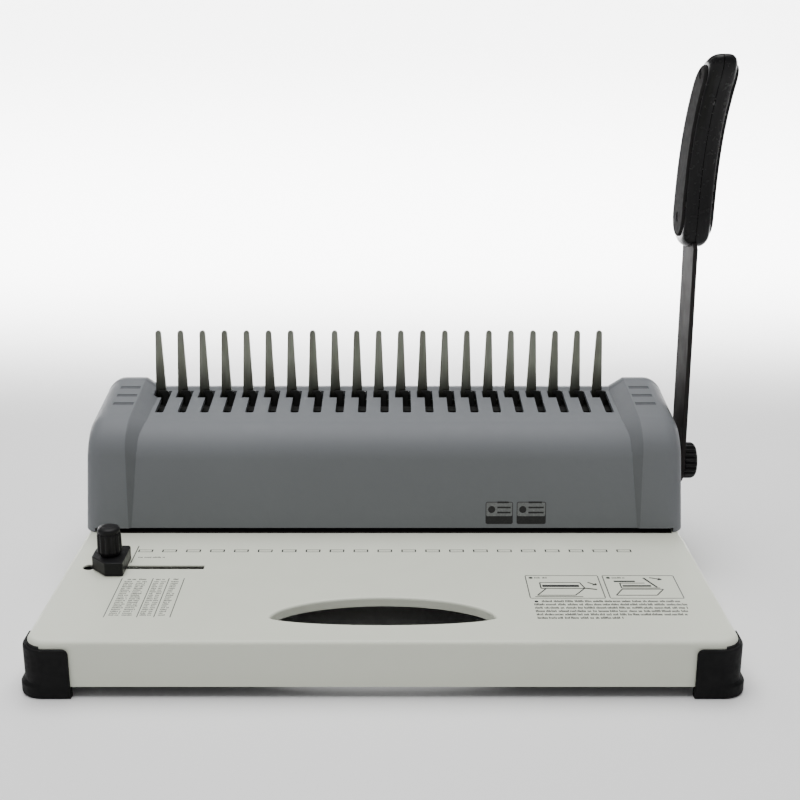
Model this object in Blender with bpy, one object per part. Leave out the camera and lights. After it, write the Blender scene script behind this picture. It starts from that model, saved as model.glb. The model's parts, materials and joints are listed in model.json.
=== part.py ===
"""Comb binding machine: punches 21 rectangular holes and opens plastic comb spines.

Metres, +Z up. X runs along the machine, -Y points to the user, Z = 0 is the floor.
Inside the script the mid-plane is X = 0 and the front edge of the base is Y = 0; the empty
machine_datum then moves everything so that the whole machine is centred on the origin.
"""
import math

import bmesh
import bpy
from mathutils import Vector
from mathutils.geometry import convex_hull_2d

# ---- driving dimensions -------------------------------------------------------------------
GAP = 0.0003                      # clearance between pieces that meet
HOLE_COUNT = 21
PITCH = 0.0142875                 # comb binding pitch, 9/16 inch
PIN_WIDTH = 0.008
PIN_THICK = 0.003

BASE_WIDTH = 0.3675
BASE_DEPTH = 0.240
BASE_TOP = 0.032
SKIRT_BOTTOM = 0.0065
BASE_CORNER = 0.011
SHEET = 0.001
HAND_HOLE_HALF = 0.060            # half the width of the lens-shaped hand hole
HAND_HOLE_Y = 0.028
HAND_HOLE_REAR = 0.022            # how far the rear arc bulges
HAND_HOLE_FRONT = 0.008           # how far the front arc bulges
HAND_FLANGE = 0.0055

FOOT_WRAP = 0.023
FOOT_TOP = 0.028
FOOT_SIDE = 0.0027                # how far a foot stands out from the skirt at the sides
FOOT_FRONT = 0.0016               # and at the front and rear
FOOT_LIP = 0.0022                 # more at the side, up to LIP_TOP
LIP_TOP = 0.0085
PAD_END = 0.003                   # the pad under the skirt narrows to this at the foot's ends
FOOT_CORNER = 0.0125

HOUSING_Y = 0.1464                # front face of the cover at its foot
HOUSING_DEPTH = 0.0895
COVER_HALF = 0.1860
COVER_WALL = 0.0025
FRONT_ROUND = 0.022               # radius of the cover's front top edge
REAR_ROUND = 0.0135
COVER_DRAFT = 0.0036              # how far an end of the cover leans in over its height
THROAT = 0.0031                   # paper throat between the table and the cover
THROAT_HALF = 0.179
CAP_INNER = 0.1497                # the raised end caps begin here
CAP_OUTER = 0.1575

SHAFT_Y = 0.1874                  # lever and punch shaft axis
SHAFT_Z = 0.0644
SHAFT_RADIUS = 0.006
LEVER_X = 0.1877                  # inner face of the lever bar
LEVER_THICK = 0.0028
LEVER_HALF = 0.0145
LEVER_LEAN = 0.005                # how far the bar leans back at the grip

PUNCH_STROKE = 0.009
PUNCH_ANGLE = math.radians(85.0)
CAM_BASE = 0.009
CRANK_RADIUS = 0.027
CRANK_ANGLE = math.radians(26.0)  # crank pin behind straight down, at rest

FRAME_X = 0.166                   # inner face of a side frame
FRAME_THICK = 0.003
FLANGE_INNER = 0.152
FLANGE_THICK = 0.0022
RAKE_TOP = 0.0935
RAKE_THICK = 0.0015
FINGER_Y = HOUSING_Y + 0.067
FINGER_THICK = 0.002
FINGER_TIP = 0.1438
HOOK_TOP = 0.1040
RAKE_POST_Y = 0.1810              # spring posts at the left end of the rake and its frame
FRAME_POST_Y = 0.2180
POST_Z = 0.0830
POST_RADIUS = 0.0012

GUIDE_Y = 0.092                   # edge guide slot
GUIDE_SLOT_HALF = 0.0025
GUIDE_ENTRY_RADIUS = 0.0038
GUIDE_KNOB_X = -0.1580
GUIDE_SLOT_LEFT = -0.1705
GUIDE_SLOT_RIGHT = -0.104
DRAWER_HALF = 0.158

BAR_BOTTOM = 0.0478
BAR_TOP = SHAFT_Z - CAM_BASE - GAP
PLATE_BOTTOM = BASE_TOP + GAP + FLANGE_THICK + GAP
PLATE_TOP = PLATE_BOTTOM + 0.0035
DIE_HALF_DEPTH = 0.012
STACK_HALF = 0.1655               # half length of the die plate and the guide plate

GRIP_LOW = 0.1375                 # heights above the lever axis
GRIP_HIGH = 0.2536
GRIP_INNER = 0.1802               # the grip's inner and outer faces, along X
GRIP_OUTER = 0.1997
GRIP_SPLIT = LEVER_X + LEVER_THICK / 2
GRIP_SCREWS = (0.1560, 0.2420)
GRIP_SCREW_END = 0.1940
TANG_HALF = 0.0065
TANG_TOP = 0.232
KNOB_RADIUS = 0.0118
KNOB_FLUTE = 0.0009
KNOB_FLUTES = 18
SHAFT_END = 0.1962                # right end of the shaft's thread
THREAD_RADIUS = 0.0038
STEP_RADIUS = 0.0047              # the shaft where the lever sits
KNOB_END = 0.1997                 # outer end of the lever knob, the machine's right end
LEFT_END = BASE_WIDTH / 2 + FOOT_SIDE + FOOT_LIP   # how far the left feet reach out
CENTRE_X = (KNOB_END - LEFT_END) / 2
CENTRE_Y = BASE_DEPTH / 2


def hole_centres():
    """X of each punched hole, left to right."""
    middle = (HOLE_COUNT - 1) / 2
    return [(index - middle) * PITCH for index in range(HOLE_COUNT)]


# ---- helpers ------------------------------------------------------------------------------
def material(name, colour, roughness, metallic=0.0):
    found = bpy.data.materials.get(name)
    if found:
        return found
    made = bpy.data.materials.new(name)
    made.use_nodes = True
    shader = made.node_tree.nodes["Principled BSDF"]
    shader.inputs["Base Color"].default_value = (*colour, 1.0)
    shader.inputs["Roughness"].default_value = roughness
    shader.inputs["Metallic"].default_value = metallic
    return made


def powder_coat():
    return material("powder_coat", (0.61, 0.60, 0.56), 0.55)


def grey_abs():
    return material("grey_abs", (0.17, 0.18, 0.19), 0.50)


def black_plastic():
    return material("black_plastic", (0.012, 0.012, 0.013), 0.40)


def black_paint():
    return material("black_paint", (0.010, 0.010, 0.011), 0.22)


def plated_steel():
    return material("plated_steel", (0.46, 0.46, 0.44), 0.38, 1.0)


def dull_steel():
    return material("dull_steel", (0.27, 0.29, 0.27), 0.42, 1.0)


def tool_steel():
    return material("tool_steel", (0.33, 0.33, 0.34), 0.33, 1.0)


def brass():
    return material("bush_brass", (0.56, 0.42, 0.18), 0.40, 1.0)


def place_on(axis, u, v, along):
    """A point at (u, v) in the plane across an axis and `along` on the axis."""
    if axis == "X":
        return (along, u, v)
    if axis == "Y":
        return (u, along, v)
    return (u, v, along)


def prism(outline, low, high, axis="Z", bm=None):
    """A straight solid: one outline, extruded along an axis."""
    bm = bm or bmesh.new()
    start = [bm.verts.new(place_on(axis, u, v, low)) for u, v in outline]
    end = [bm.verts.new(place_on(axis, u, v, high)) for u, v in outline]
    bm.faces.new(start)
    bm.faces.new(end)
    for index in range(len(outline)):
        after = (index + 1) % len(outline)
        bm.faces.new((start[index], start[after], end[after], end[index]))
    return bm


def box(low, high, bm=None):
    outline = [(low[0], low[1]), (high[0], low[1]), (high[0], high[1]), (low[0], high[1])]
    return prism(outline, low[2], high[2], "Z", bm)


def loft(rings, bm=None):
    """A closed solid through rings of equal length, with a flat cap at each end."""
    bm = bm or bmesh.new()
    grid = [[bm.verts.new(point) for point in ring] for ring in rings]
    bm.faces.new(grid[0])
    bm.faces.new(grid[-1])
    for near, far in zip(grid, grid[1:]):
        for index in range(len(near)):
            after = (index + 1) % len(near)
            bm.faces.new((near[index], near[after], far[after], far[index]))
    return bm


def circle(u, v, radius, sides, start=0.0):
    step = math.tau / sides
    return [(u + radius * math.cos(start + step * i), v + radius * math.sin(start + step * i))
            for i in range(sides)]


def turned(profile, sides, axis, bm=None):
    """A turned piece about an axis through the origin: profile is (radius, along) pairs.

    A profile that starts and ends at radius 0 makes a solid, any other closed one a ring.
    """
    bm = bm or bmesh.new()
    rings = []
    for radius, along in profile:
        if radius == 0.0:
            rings.append([bm.verts.new(place_on(axis, 0.0, 0.0, along))])
        else:
            rings.append([bm.verts.new(place_on(axis, u, v, along))
                          for u, v in circle(0.0, 0.0, radius, sides)])
    pairs = list(zip(rings, rings[1:]))
    if profile[0][0] > 0.0:
        pairs.append((rings[-1], rings[0]))
    for near, far in pairs:
        for index in range(sides):
            after = (index + 1) % sides
            if len(near) == 1:
                bm.faces.new((near[0], far[index], far[after]))
            elif len(far) == 1:
                bm.faces.new((near[index], near[after], far[0]))
            else:
                bm.faces.new((near[index], near[after], far[after], far[index]))
    return bm


def rounded_corner(corner_u, corner_v, radius, start_degrees, steps):
    """Points of a quarter arc about (corner_u, corner_v)."""
    first = math.radians(start_degrees)
    return [(corner_u + radius * math.cos(first + math.pi / 2 * i / steps),
             corner_v + radius * math.sin(first + math.pi / 2 * i / steps))
            for i in range(steps + 1)]


def rounded_rectangle(low_u, low_v, high_u, high_v, radius, steps=4):
    return (rounded_corner(high_u - radius, high_v - radius, radius, 0, steps)
            + rounded_corner(low_u + radius, high_v - radius, radius, 90, steps)
            + rounded_corner(low_u + radius, low_v + radius, radius, 180, steps)
            + rounded_corner(high_u - radius, low_v + radius, radius, 270, steps))


def mesh_object(name, bm, parent, location=(0.0, 0.0, 0.0)):
    bmesh.ops.recalc_face_normals(bm, faces=bm.faces)
    mesh = bpy.data.meshes.new(name)
    bm.to_mesh(mesh)
    bm.free()
    made = bpy.data.objects.new(name, mesh)
    bpy.context.scene.collection.objects.link(made)
    made.parent = parent
    made.location = location
    return made


def piece(name, bm, look, parent, location=(0.0, 0.0, 0.0)):
    """One sub-part: a mesh object with its material, smooth where it is round."""
    made = mesh_object(name, bm, parent, location)
    made.data.materials.append(look)
    made.data.shade_smooth()
    made.data.set_sharp_from_angle(angle=math.radians(40))
    return made


def cutter(name, bm, parent, location=(0.0, 0.0, 0.0)):
    made = mesh_object(name, bm, parent, location)
    made.hide_render = True
    made.display_type = "WIRE"
    return made


def boolean(target, tool, operation="DIFFERENCE"):
    step = target.modifiers.new(tool.name, "BOOLEAN")
    step.operation = operation
    step.solver = "EXACT"
    step.object = tool


def empty(name, parent, location):
    made = bpy.data.objects.new(name, None)
    bpy.context.scene.collection.objects.link(made)
    made.parent = parent
    made.location = location
    return made


# ---- base ---------------------------------------------------------------------------------
def base_outline(grow=0.0, steps=4):
    half = BASE_WIDTH / 2 + grow
    return rounded_rectangle(-half, -grow, half, BASE_DEPTH + grow, BASE_CORNER + grow, steps)


def tray_shape(grow, bottom, top, edge):
    """The base's outer form: upright skirt, then a rounded top edge."""
    levels = [(grow, bottom), (grow, top - edge)]
    levels += [(grow - edge * (1 - math.cos(turn)), top - edge * (1 - math.sin(turn)))
               for turn in (math.pi / 4, math.pi / 2)]
    return loft([[(x, y, z) for x, y in base_outline(inset)] for inset, z in levels])


def hand_hole(grow, points=10):
    """A lens: a deep arc to the rear and a shallow one to the front."""
    half = HAND_HOLE_HALF + grow

    def bulge(x, sagitta):
        return (sagitta + grow) * max(0.0, 1 - (x / half) ** 2) ** 0.8

    across = [half * math.cos(math.pi * i / points) for i in range(points + 1)]
    rear = [(x, HAND_HOLE_Y + bulge(x, HAND_HOLE_REAR)) for x in across]
    front = [(x, HAND_HOLE_Y - bulge(x, HAND_HOLE_FRONT)) for x in reversed(across[1:-1])]
    return rear + front


def build_base(datum):
    base = piece("base_table", tray_shape(0.0, SKIRT_BOTTOM, BASE_TOP, 0.0027), powder_coat(), datum)
    hollow = tray_shape(-SHEET, SKIRT_BOTTOM - 0.01, BASE_TOP - SHEET, 0.0015)
    boolean(base, cutter("base_hollow", hollow, datum))
    ring = prism(hand_hole(SHEET), BASE_TOP - HAND_FLANGE, BASE_TOP - SHEET / 2)
    boolean(base, cutter("hand_hole_flange", ring, datum), "UNION")
    through = prism(hand_hole(0.0), BASE_TOP - 0.02, BASE_TOP + 0.01)
    boolean(base, cutter("hand_hole_cut", through, datum))
    boolean(base, cutter("table_windows", table_windows(), datum))
    return base


def keyhole():
    """The edge guide's slot: a round entry hole at its left end, then a straight run."""
    half = GUIDE_SLOT_HALF
    radius = GUIDE_ENTRY_RADIUS
    opening = math.asin(half / radius)
    turns = [opening + (math.tau - 2 * opening) * i / 10 for i in range(11)]
    entry = [(GUIDE_SLOT_LEFT + radius * math.cos(turn), GUIDE_Y + radius * math.sin(turn)) for turn in turns]
    return entry + [(GUIDE_SLOT_RIGHT, GUIDE_Y - half), (GUIDE_SLOT_RIGHT, GUIDE_Y + half)]


def table_windows():
    """Openings in the base: edge guide slot, die plate, and the drawer mouth at the rear."""
    low = BASE_TOP - 0.004
    high = BASE_TOP + 0.004
    bm = prism(keyhole(), low, high)
    reach = STACK_HALF + GAP
    depth = DIE_HALF_DEPTH + GAP
    box((-reach, SHAFT_Y - depth, low), (reach, SHAFT_Y + depth, high), bm)
    box((-DRAWER_HALF, BASE_DEPTH - 0.01, 0.0080), (DRAWER_HALF, BASE_DEPTH + 0.01, 0.0270), bm)
    return bm


def build_foot(datum, name, side, front):
    """A moulded corner: a wall wrapped round the skirt, and a wider pad under it."""
    edge_x = side * BASE_WIDTH / 2
    edge_y = 0.0 if front else BASE_DEPTH
    inward = 1.0 if front else -1.0

    def layer(stand_out, top):
        corner = rounded_corner(FOOT_CORNER - stand_out, FOOT_CORNER - FOOT_FRONT, FOOT_CORNER, 180, 5)
        outline = [(PAD_END, FOOT_WRAP), (-stand_out, FOOT_WRAP)] + corner
        outline += [(FOOT_WRAP, -FOOT_FRONT), (FOOT_WRAP, PAD_END)]
        return prism([(edge_x - side * u, edge_y + inward * v) for u, v in outline], 0.0, top)

    foot = piece(name, layer(FOOT_SIDE, FOOT_TOP), black_plastic(), datum)
    boolean(foot, cutter(name + "_lip", layer(FOOT_SIDE + FOOT_LIP, LIP_TOP), datum), "UNION")
    return foot


def build_feet(datum):
    pocket = prism(base_outline(GAP, 5), SKIRT_BOTTOM - GAP, BASE_TOP + 0.01)
    pocket_cutter = cutter("skirt_pocket", pocket, datum)
    corners = (("front_left_foot", -1, True), ("front_right_foot", 1, True),
               ("rear_left_foot", -1, False), ("rear_right_foot", 1, False))
    for name, side, front in corners:
        boolean(build_foot(datum, name, side, front), pocket_cutter)


# ---- cover --------------------------------------------------------------------------------
def arc_between(before, corner, after, radius, steps):
    """A fillet: the points that round the corner of two straight runs."""
    first = (Vector(before) - Vector(corner)).normalized()
    second = (Vector(after) - Vector(corner)).normalized()
    half_angle = first.angle(second) / 2
    back = radius / math.tan(half_angle)
    centre = Vector(corner) + (first + second).normalized() * (radius / math.sin(half_angle))
    start = (Vector(corner) + first * back - centre).normalized()
    end = (Vector(corner) + second * back - centre).normalized()
    return [centre + start.slerp(end, i / steps) * radius for i in range(steps + 1)]


def cover_profile(raised, inset):
    """The cover's section, front foot to rear foot. raised is 0 between the caps, 1 on a cap."""
    def blend(low, high):
        return low + (high - low) * raised

    def point(y, z):
        return (HOUSING_Y + y, BASE_TOP + z)

    front_foot = point(blend(-0.0028, -0.0036) + inset, GAP - (0.01 if inset else 0.0))
    front_top = point(blend(0.0043, 0.0012) + inset, blend(0.0630, 0.0664) - inset)
    rear_top = point(HOUSING_DEPTH - 0.0012 - inset, blend(0.0722, 0.0794) - inset)
    rear_foot = point(HOUSING_DEPTH - inset, GAP - (0.01 if inset else 0.0))
    front_arc = arc_between(front_foot, front_top, rear_top, FRONT_ROUND - inset, 5)
    rear_arc = arc_between(front_top, rear_top, rear_foot, REAR_ROUND - inset, 4)
    return [front_foot, *map(tuple, front_arc), *map(tuple, rear_arc), rear_foot]


def cover_ring(x, raised, shrink, inset=0.0):
    """One section at x; shrink pulls the outline in, which rounds the end of the cover."""
    profile = cover_profile(raised, inset)
    top = max(z for _, z in profile)
    middle = HOUSING_Y + HOUSING_DEPTH / 2
    ring = []
    for y, z in profile:
        share = (z - BASE_TOP) / (top - BASE_TOP)
        draft = COVER_DRAFT * share * (abs(x) > CAP_OUTER + 0.01)
        pull = 1.0 - shrink / (HOUSING_DEPTH / 2)
        ring.append((math.copysign(abs(x) - draft, x), middle + (y - middle) * pull,
                     z - shrink * max(share, 0.0)))
    return ring


def cover_body():
    stations = [(COVER_HALF, 1, 0.0065), (COVER_HALF - 0.0012, 1, 0.0030),
                (COVER_HALF - 0.0042, 1, 0.0008), (COVER_HALF - 0.0085, 1, 0.0),
                (CAP_OUTER, 1, 0.0), (CAP_INNER, 0, 0.0)]
    right = [cover_ring(x, raised, shrink) for x, raised, shrink in stations]
    left = [cover_ring(-x, raised, shrink) for x, raised, shrink in reversed(stations)]
    return loft(right + left)


def cover_hollow():
    reach = COVER_HALF - 0.0045
    stations = [(reach, 1), (CAP_OUTER, 1), (CAP_INNER, 0)]
    right = [cover_ring(x, raised, 0.0, COVER_WALL) for x, raised in stations]
    left = [cover_ring(-x, raised, 0.0, COVER_WALL) for x, raised in reversed(stations)]
    return loft(right + left)


def cover_slots():
    """An L-shaped slot for each finger: a wide rear part and a narrow run to the front."""
    bm = bmesh.new()
    for x in hole_centres():
        rear = HOUSING_Y + 0.071
        step = HOUSING_Y + 0.0595
        tip = HOUSING_Y + 0.035
        outline = [(x - 0.0075, step), (x - 0.0026, step), (x - 0.0026, tip + 0.0012),
                   (x - 0.0012, tip), (x + 0.0013, tip), (x + 0.0027, tip + 0.0012),
                   (x + 0.0027, step), (x + 0.0027, rear), (x - 0.0075, rear)]
        prism(outline, BASE_TOP + 0.055, BASE_TOP + 0.085, "Z", bm)
    return bm


def build_cover(datum):
    cover = piece("top_cover", cover_body(), grey_abs(), datum)
    boolean(cover, cutter("cover_hollow", cover_hollow(), datum))
    openings = cover_slots()
    box((-THROAT_HALF, HOUSING_Y - 0.01, BASE_TOP - 0.005),
        (THROAT_HALF, HOUSING_Y + 0.01, BASE_TOP + THROAT), openings)
    prism(circle(SHAFT_Y, SHAFT_Z, 0.0092, 16), COVER_HALF - 0.02, COVER_HALF + 0.02, "X", openings)
    boolean(cover, cutter("cover_openings", openings, datum))


# ---- frames and punch stack ---------------------------------------------------------------
def build_side_frame(datum, name, side):
    """A bent plate: an upright with the bush hole and a foot flange turned inwards."""
    low = BASE_TOP + GAP
    top = RAKE_TOP - RAKE_THICK - GAP
    notch = FINGER_Y - GAP
    notch_end = FINGER_Y + FINGER_THICK + GAP
    upright = [(0.157, low), (0.223, low), (0.223, top - 0.010), (0.219, top), (notch_end, top),
               (notch_end, 0.076), (notch, 0.076), (notch, top), (0.170, top), (0.160, top - 0.020)]
    near = side * FRAME_X
    far = side * (FRAME_X + FRAME_THICK)
    frame = piece(name, prism(upright, min(near, far), max(near, far), "X"), plated_steel(), datum)
    reach = sorted((side * FLANGE_INNER, side * (FRAME_X + FRAME_THICK / 2)))
    flange = box((reach[0], 0.157, low), (reach[1], 0.223, low + FLANGE_THICK))
    boolean(frame, cutter(name + "_flange", flange, datum), "UNION")
    if side < 0:
        post = prism(circle(FRAME_POST_Y, POST_Z, POST_RADIUS, 10), far - 0.0068, far + 0.001, "X")
        boolean(frame, cutter("frame_spring_post", post, datum), "UNION")
    bore = prism(circle(SHAFT_Y, SHAFT_Z, 0.0090 + GAP, 20), near - side * 0.004, far + side * 0.004, "X")
    boolean(frame, cutter(name + "_bore", bore, datum))
    return frame


def build_bush(axis_empty, name, side):
    start = side * (FRAME_X - 0.0018)
    inner = SHAFT_RADIUS + GAP
    rim = side * (FRAME_X - GAP)
    end = side * (FRAME_X + FRAME_THICK + 0.0006)
    profile = [(inner, start), (0.011, start), (0.011, rim), (0.009, rim), (0.009, end), (inner, end)]
    piece(name, turned(profile, 20, "X"), brass(), axis_empty)


def pin_slots(grow, low, high):
    """A rectangular opening for every punch pin."""
    bm = bmesh.new()
    wide = PIN_WIDTH / 2 + grow
    deep = PIN_THICK / 2 + grow
    for x in hole_centres():
        box((x - wide, SHAFT_Y - deep, low), (x + wide, SHAFT_Y + deep, high), bm)
    return bm


def build_punch_stack(datum):
    depth = DIE_HALF_DEPTH
    die = piece("die_plate", box((-STACK_HALF, SHAFT_Y - depth, BASE_TOP - 0.0045),
                                 (STACK_HALF, SHAFT_Y + depth, BASE_TOP)), tool_steel(), datum)
    guide = piece("guide_plate", box((-STACK_HALF, SHAFT_Y - depth, PLATE_BOTTOM),
                                     (STACK_HALF, SHAFT_Y + depth, PLATE_TOP)), plated_steel(), datum)
    slots = cutter("pin_slots", pin_slots(GAP, BASE_TOP - 0.01, PLATE_TOP + 0.003), datum)
    boolean(die, slots)
    boolean(guide, slots)
    stop = box((-0.150, SHAFT_Y + 0.0045, BASE_TOP + GAP), (0.150, SHAFT_Y + 0.0075, PLATE_BOTTOM - GAP))
    piece("paper_stop", stop, plated_steel(), datum)
    return die, guide


def screw(name, datum, x, y, top, bottom, head_radius=0.0032, shank_radius=0.0016):
    """A pan-head screw standing on Z, its head above `top`."""
    head = 0.0022
    profile = [(0.0, top + head), (head_radius * 0.7, top + head), (head_radius, top + head * 0.55),
               (head_radius, top + GAP), (shank_radius, top + GAP), (shank_radius, bottom), (0.0, bottom)]
    piece(name, turned(profile, 12, "Z"), plated_steel(), datum, (x, y, 0.0))


def build_screws(datum, die, guide, frames, base):
    """Two screws clamp the punch stack, and two hold the frames on the table."""
    holes = bmesh.new()
    for side, name in ((-1, "left"), (1, "right")):
        screw(name + "_stack_screw", datum, side * 0.1620, SHAFT_Y, PLATE_TOP, BASE_TOP - 0.006)
        prism(circle(side * 0.1620, SHAFT_Y, 0.0019, 12), 0.02, 0.06, "Z", holes)
        screw(name + "_frame_screw", datum, side * 0.1590, 0.2140, BASE_TOP + GAP + FLANGE_THICK, 0.0255)
        prism(circle(side * 0.1590, 0.2140, 0.0019, 12), 0.02, 0.06, "Z", holes)
    tool = cutter("screw_holes", holes, datum)
    for target in (die, guide, base, *frames):
        boolean(target, tool)


def build_comb_plate(datum):
    """One plate, slotted into both side frames, with 21 tapered fingers on its top edge."""
    top = BASE_TOP + 0.0650
    root = 0.00325
    tip = 0.00185
    outline = [(-FRAME_X - FRAME_THICK, 0.0765), (FRAME_X + FRAME_THICK, 0.0765)]
    outline += [(FRAME_X + FRAME_THICK, 0.0905), (0.160, top)]
    for x in reversed(hole_centres()):
        centre = x - 0.0038
        rounded = [(centre + tip * math.cos(turn), FINGER_TIP - tip * (1 - math.sin(turn)))
                   for turn in (0.0, math.pi / 4, math.pi / 2, math.pi * 3 / 4, math.pi)]
        outline += [(centre + root, top), (centre + root, top + 0.010), *rounded,
                    (centre - root, top + 0.010), (centre - root, top)]
    outline += [(-0.160, top), (-FRAME_X - FRAME_THICK, 0.0905)]
    bm = prism(outline, FINGER_Y, FINGER_Y + FINGER_THICK, "Y")
    piece("comb_plate", bm, dull_steel(), datum)


# ---- moving pieces ------------------------------------------------------------------------
def build_hook_rake(datum):
    """A bent strip: flat on the frames, hooks up at its rear edge, a drive arm at the right end."""
    rear = FINGER_Y - 0.0015
    hook_face = rear - 0.0015
    reach = 0.1730
    bm = box((-reach, HOUSING_Y + 0.0540, RAKE_TOP - RAKE_THICK), (reach, rear, RAKE_TOP))
    rake = piece("hook_rake", bm, dull_steel(), datum)
    outline = [(-reach, RAKE_TOP - RAKE_THICK * 0.6), (reach, RAKE_TOP - RAKE_THICK * 0.6),
               (reach, RAKE_TOP + 0.0006)]
    for x in reversed(hole_centres()):
        outline += [(x + 0.0016, RAKE_TOP + 0.0006), (x + 0.0016, HOOK_TOP - 0.0008),
                    (x + 0.0008, HOOK_TOP), (x - 0.0046, HOOK_TOP), (x - 0.0046, HOOK_TOP - 0.0012),
                    (x - 0.0022, HOOK_TOP - 0.0024), (x - 0.0022, RAKE_TOP + 0.0006)]
    outline.append((-reach, RAKE_TOP + 0.0006))
    hooks = cutter("rake_hooks", prism(outline, hook_face, rear + 0.0002, "Y"), datum)
    boolean(rake, hooks, "UNION")
    flank = SHAFT_Y + CRANK_RADIUS * math.sin(CRANK_ANGLE) - 0.0030
    neck = SHAFT_Y - SHAFT_RADIUS - 0.0007
    front = 0.1745
    arm = [(front, 0.0375), (flank, 0.0375), (flank, 0.0480), (neck + 0.003, 0.0530), (neck, 0.0560),
           (neck, 0.0790), (0.205, 0.0830), (0.205, RAKE_TOP - 0.0002), (0.181, RAKE_TOP - 0.0002),
           (front, 0.0840)]
    drive = cutter("rake_arm", prism(arm, 0.1710, reach - 0.0002, "X"), datum)
    boolean(rake, drive, "UNION")
    lug = [(0.1775, 0.0790), (0.1850, 0.0790), (0.2110, 0.0880), (0.2110, RAKE_TOP - 0.0002),
           (0.1840, RAKE_TOP - 0.0002), (0.1775, 0.0870)]
    boolean(rake, cutter("rake_lug", prism(lug, -0.1712, -0.1700, "X"), datum), "UNION")
    post = prism(circle(RAKE_POST_Y, POST_Z, POST_RADIUS, 10), -0.1758, -0.1706, "X")
    boolean(rake, cutter("rake_spring_post", post, datum), "UNION")


def build_main_shaft(axis_empty):
    """The shaft, stepped down at the right for the lever and the knob's thread."""
    left_end = -(FRAME_X + FRAME_THICK + 0.003)
    step = LEVER_X - GAP
    thread = LEVER_X + LEVER_THICK
    profile = [(0.0, left_end), (0.0052, left_end), (SHAFT_RADIUS, left_end + 0.0008),
               (SHAFT_RADIUS, step), (STEP_RADIUS, step), (STEP_RADIUS, thread), (THREAD_RADIUS, thread),
               (THREAD_RADIUS, SHAFT_END), (0.0, SHAFT_END)]
    piece("main_shaft", turned(profile, 20, "X"), plated_steel(), axis_empty)


def cam_outline():
    """A flat-follower cam: the distance to its tangent grows evenly with the turned angle."""
    rise = PUNCH_STROKE / PUNCH_ANGLE
    points = circle(0.0, 0.0, CAM_BASE, 20)
    for i in range(13):
        turn = PUNCH_ANGLE * i / 12
        reach = CAM_BASE + rise * turn
        points.append((-reach * math.sin(turn) - rise * math.cos(turn),
                       -reach * math.cos(turn) + rise * math.sin(turn)))
    return [points[index] for index in convex_hull_2d(points)]


def build_cam(axis_empty, name, x):
    cam = piece(name, prism(cam_outline(), x - 0.004, x + 0.004, "X"), tool_steel(), axis_empty)
    bore = prism(circle(0.0, 0.0, SHAFT_RADIUS + GAP, 20), x - 0.01, x + 0.01, "X")
    boolean(cam, cutter(name + "_bore", bore, axis_empty))


def build_punch_bar(datum):
    bar = piece("punch_bar", box((-0.158, SHAFT_Y - 0.008, BAR_BOTTOM), (0.158, SHAFT_Y + 0.008, BAR_TOP)),
                plated_steel(), datum)
    pockets = pin_slots(GAP, BAR_BOTTOM - 0.01, BAR_BOTTOM + 0.0053)
    for side in (-1, 1):
        prism(circle(side * 0.153, SHAFT_Y, 0.0042, 12), BAR_BOTTOM - 0.01, BAR_BOTTOM + 0.0055, "Z", pockets)
    boolean(bar, cutter("bar_pockets", pockets, datum))
    for index, x in enumerate(hole_centres()):
        piece(f"punch_pin_{index + 1:02d}", punch_pin(), tool_steel(), datum, (x, SHAFT_Y, 0.0))


def punch_pin():
    """A flat pin whose cutting end is hollowed to a shallow V."""
    half = PIN_WIDTH / 2
    low = PLATE_BOTTOM + 0.0002
    outline = [(-half, low), (0.0, low + 0.0012), (half, low), (half, BAR_BOTTOM + 0.005),
               (-half, BAR_BOTTOM + 0.005)]
    return prism(outline, -PIN_THICK / 2, PIN_THICK / 2, "Y")


def coil_spring(name, parent, location, radius, wire, length, turns, steps, axis="Z"):
    """A round-wire coil that starts at the location and runs along an axis."""
    curve = bpy.data.curves.new(name, "CURVE")
    curve.dimensions = "3D"
    curve.bevel_depth = wire
    curve.bevel_resolution = 0
    curve.use_fill_caps = True
    spline = curve.splines.new("POLY")
    spline.points.add(turns * steps)
    for index, point in enumerate(spline.points):
        turn = math.tau * index / steps
        along = wire + (length - 2 * wire) * index / (turns * steps)
        point.co = (*place_on(axis, radius * math.cos(turn), radius * math.sin(turn), along), 1.0)
    curve.materials.append(plated_steel())
    made = bpy.data.objects.new(name, curve)
    bpy.context.scene.collection.objects.link(made)
    made.parent = parent
    made.location = location


def build_springs(datum):
    """Two springs lift the punch bar, and one draws the rake back."""
    low = PLATE_TOP + GAP
    length = BAR_BOTTOM + 0.0055 - GAP - low
    for side, name in ((-1, "left_return_spring"), (1, "right_return_spring")):
        coil_spring(name, datum, (side * 0.153, SHAFT_Y, low), 0.0031, 0.0004, length, 4, 11)
    start = RAKE_POST_Y + POST_RADIUS + GAP
    length = FRAME_POST_Y - POST_RADIUS - GAP - start
    coil_spring("rake_return_spring", datum, (-0.1740, start, POST_Z), 0.0017, 0.0003, length, 12, 6, "Y")


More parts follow.
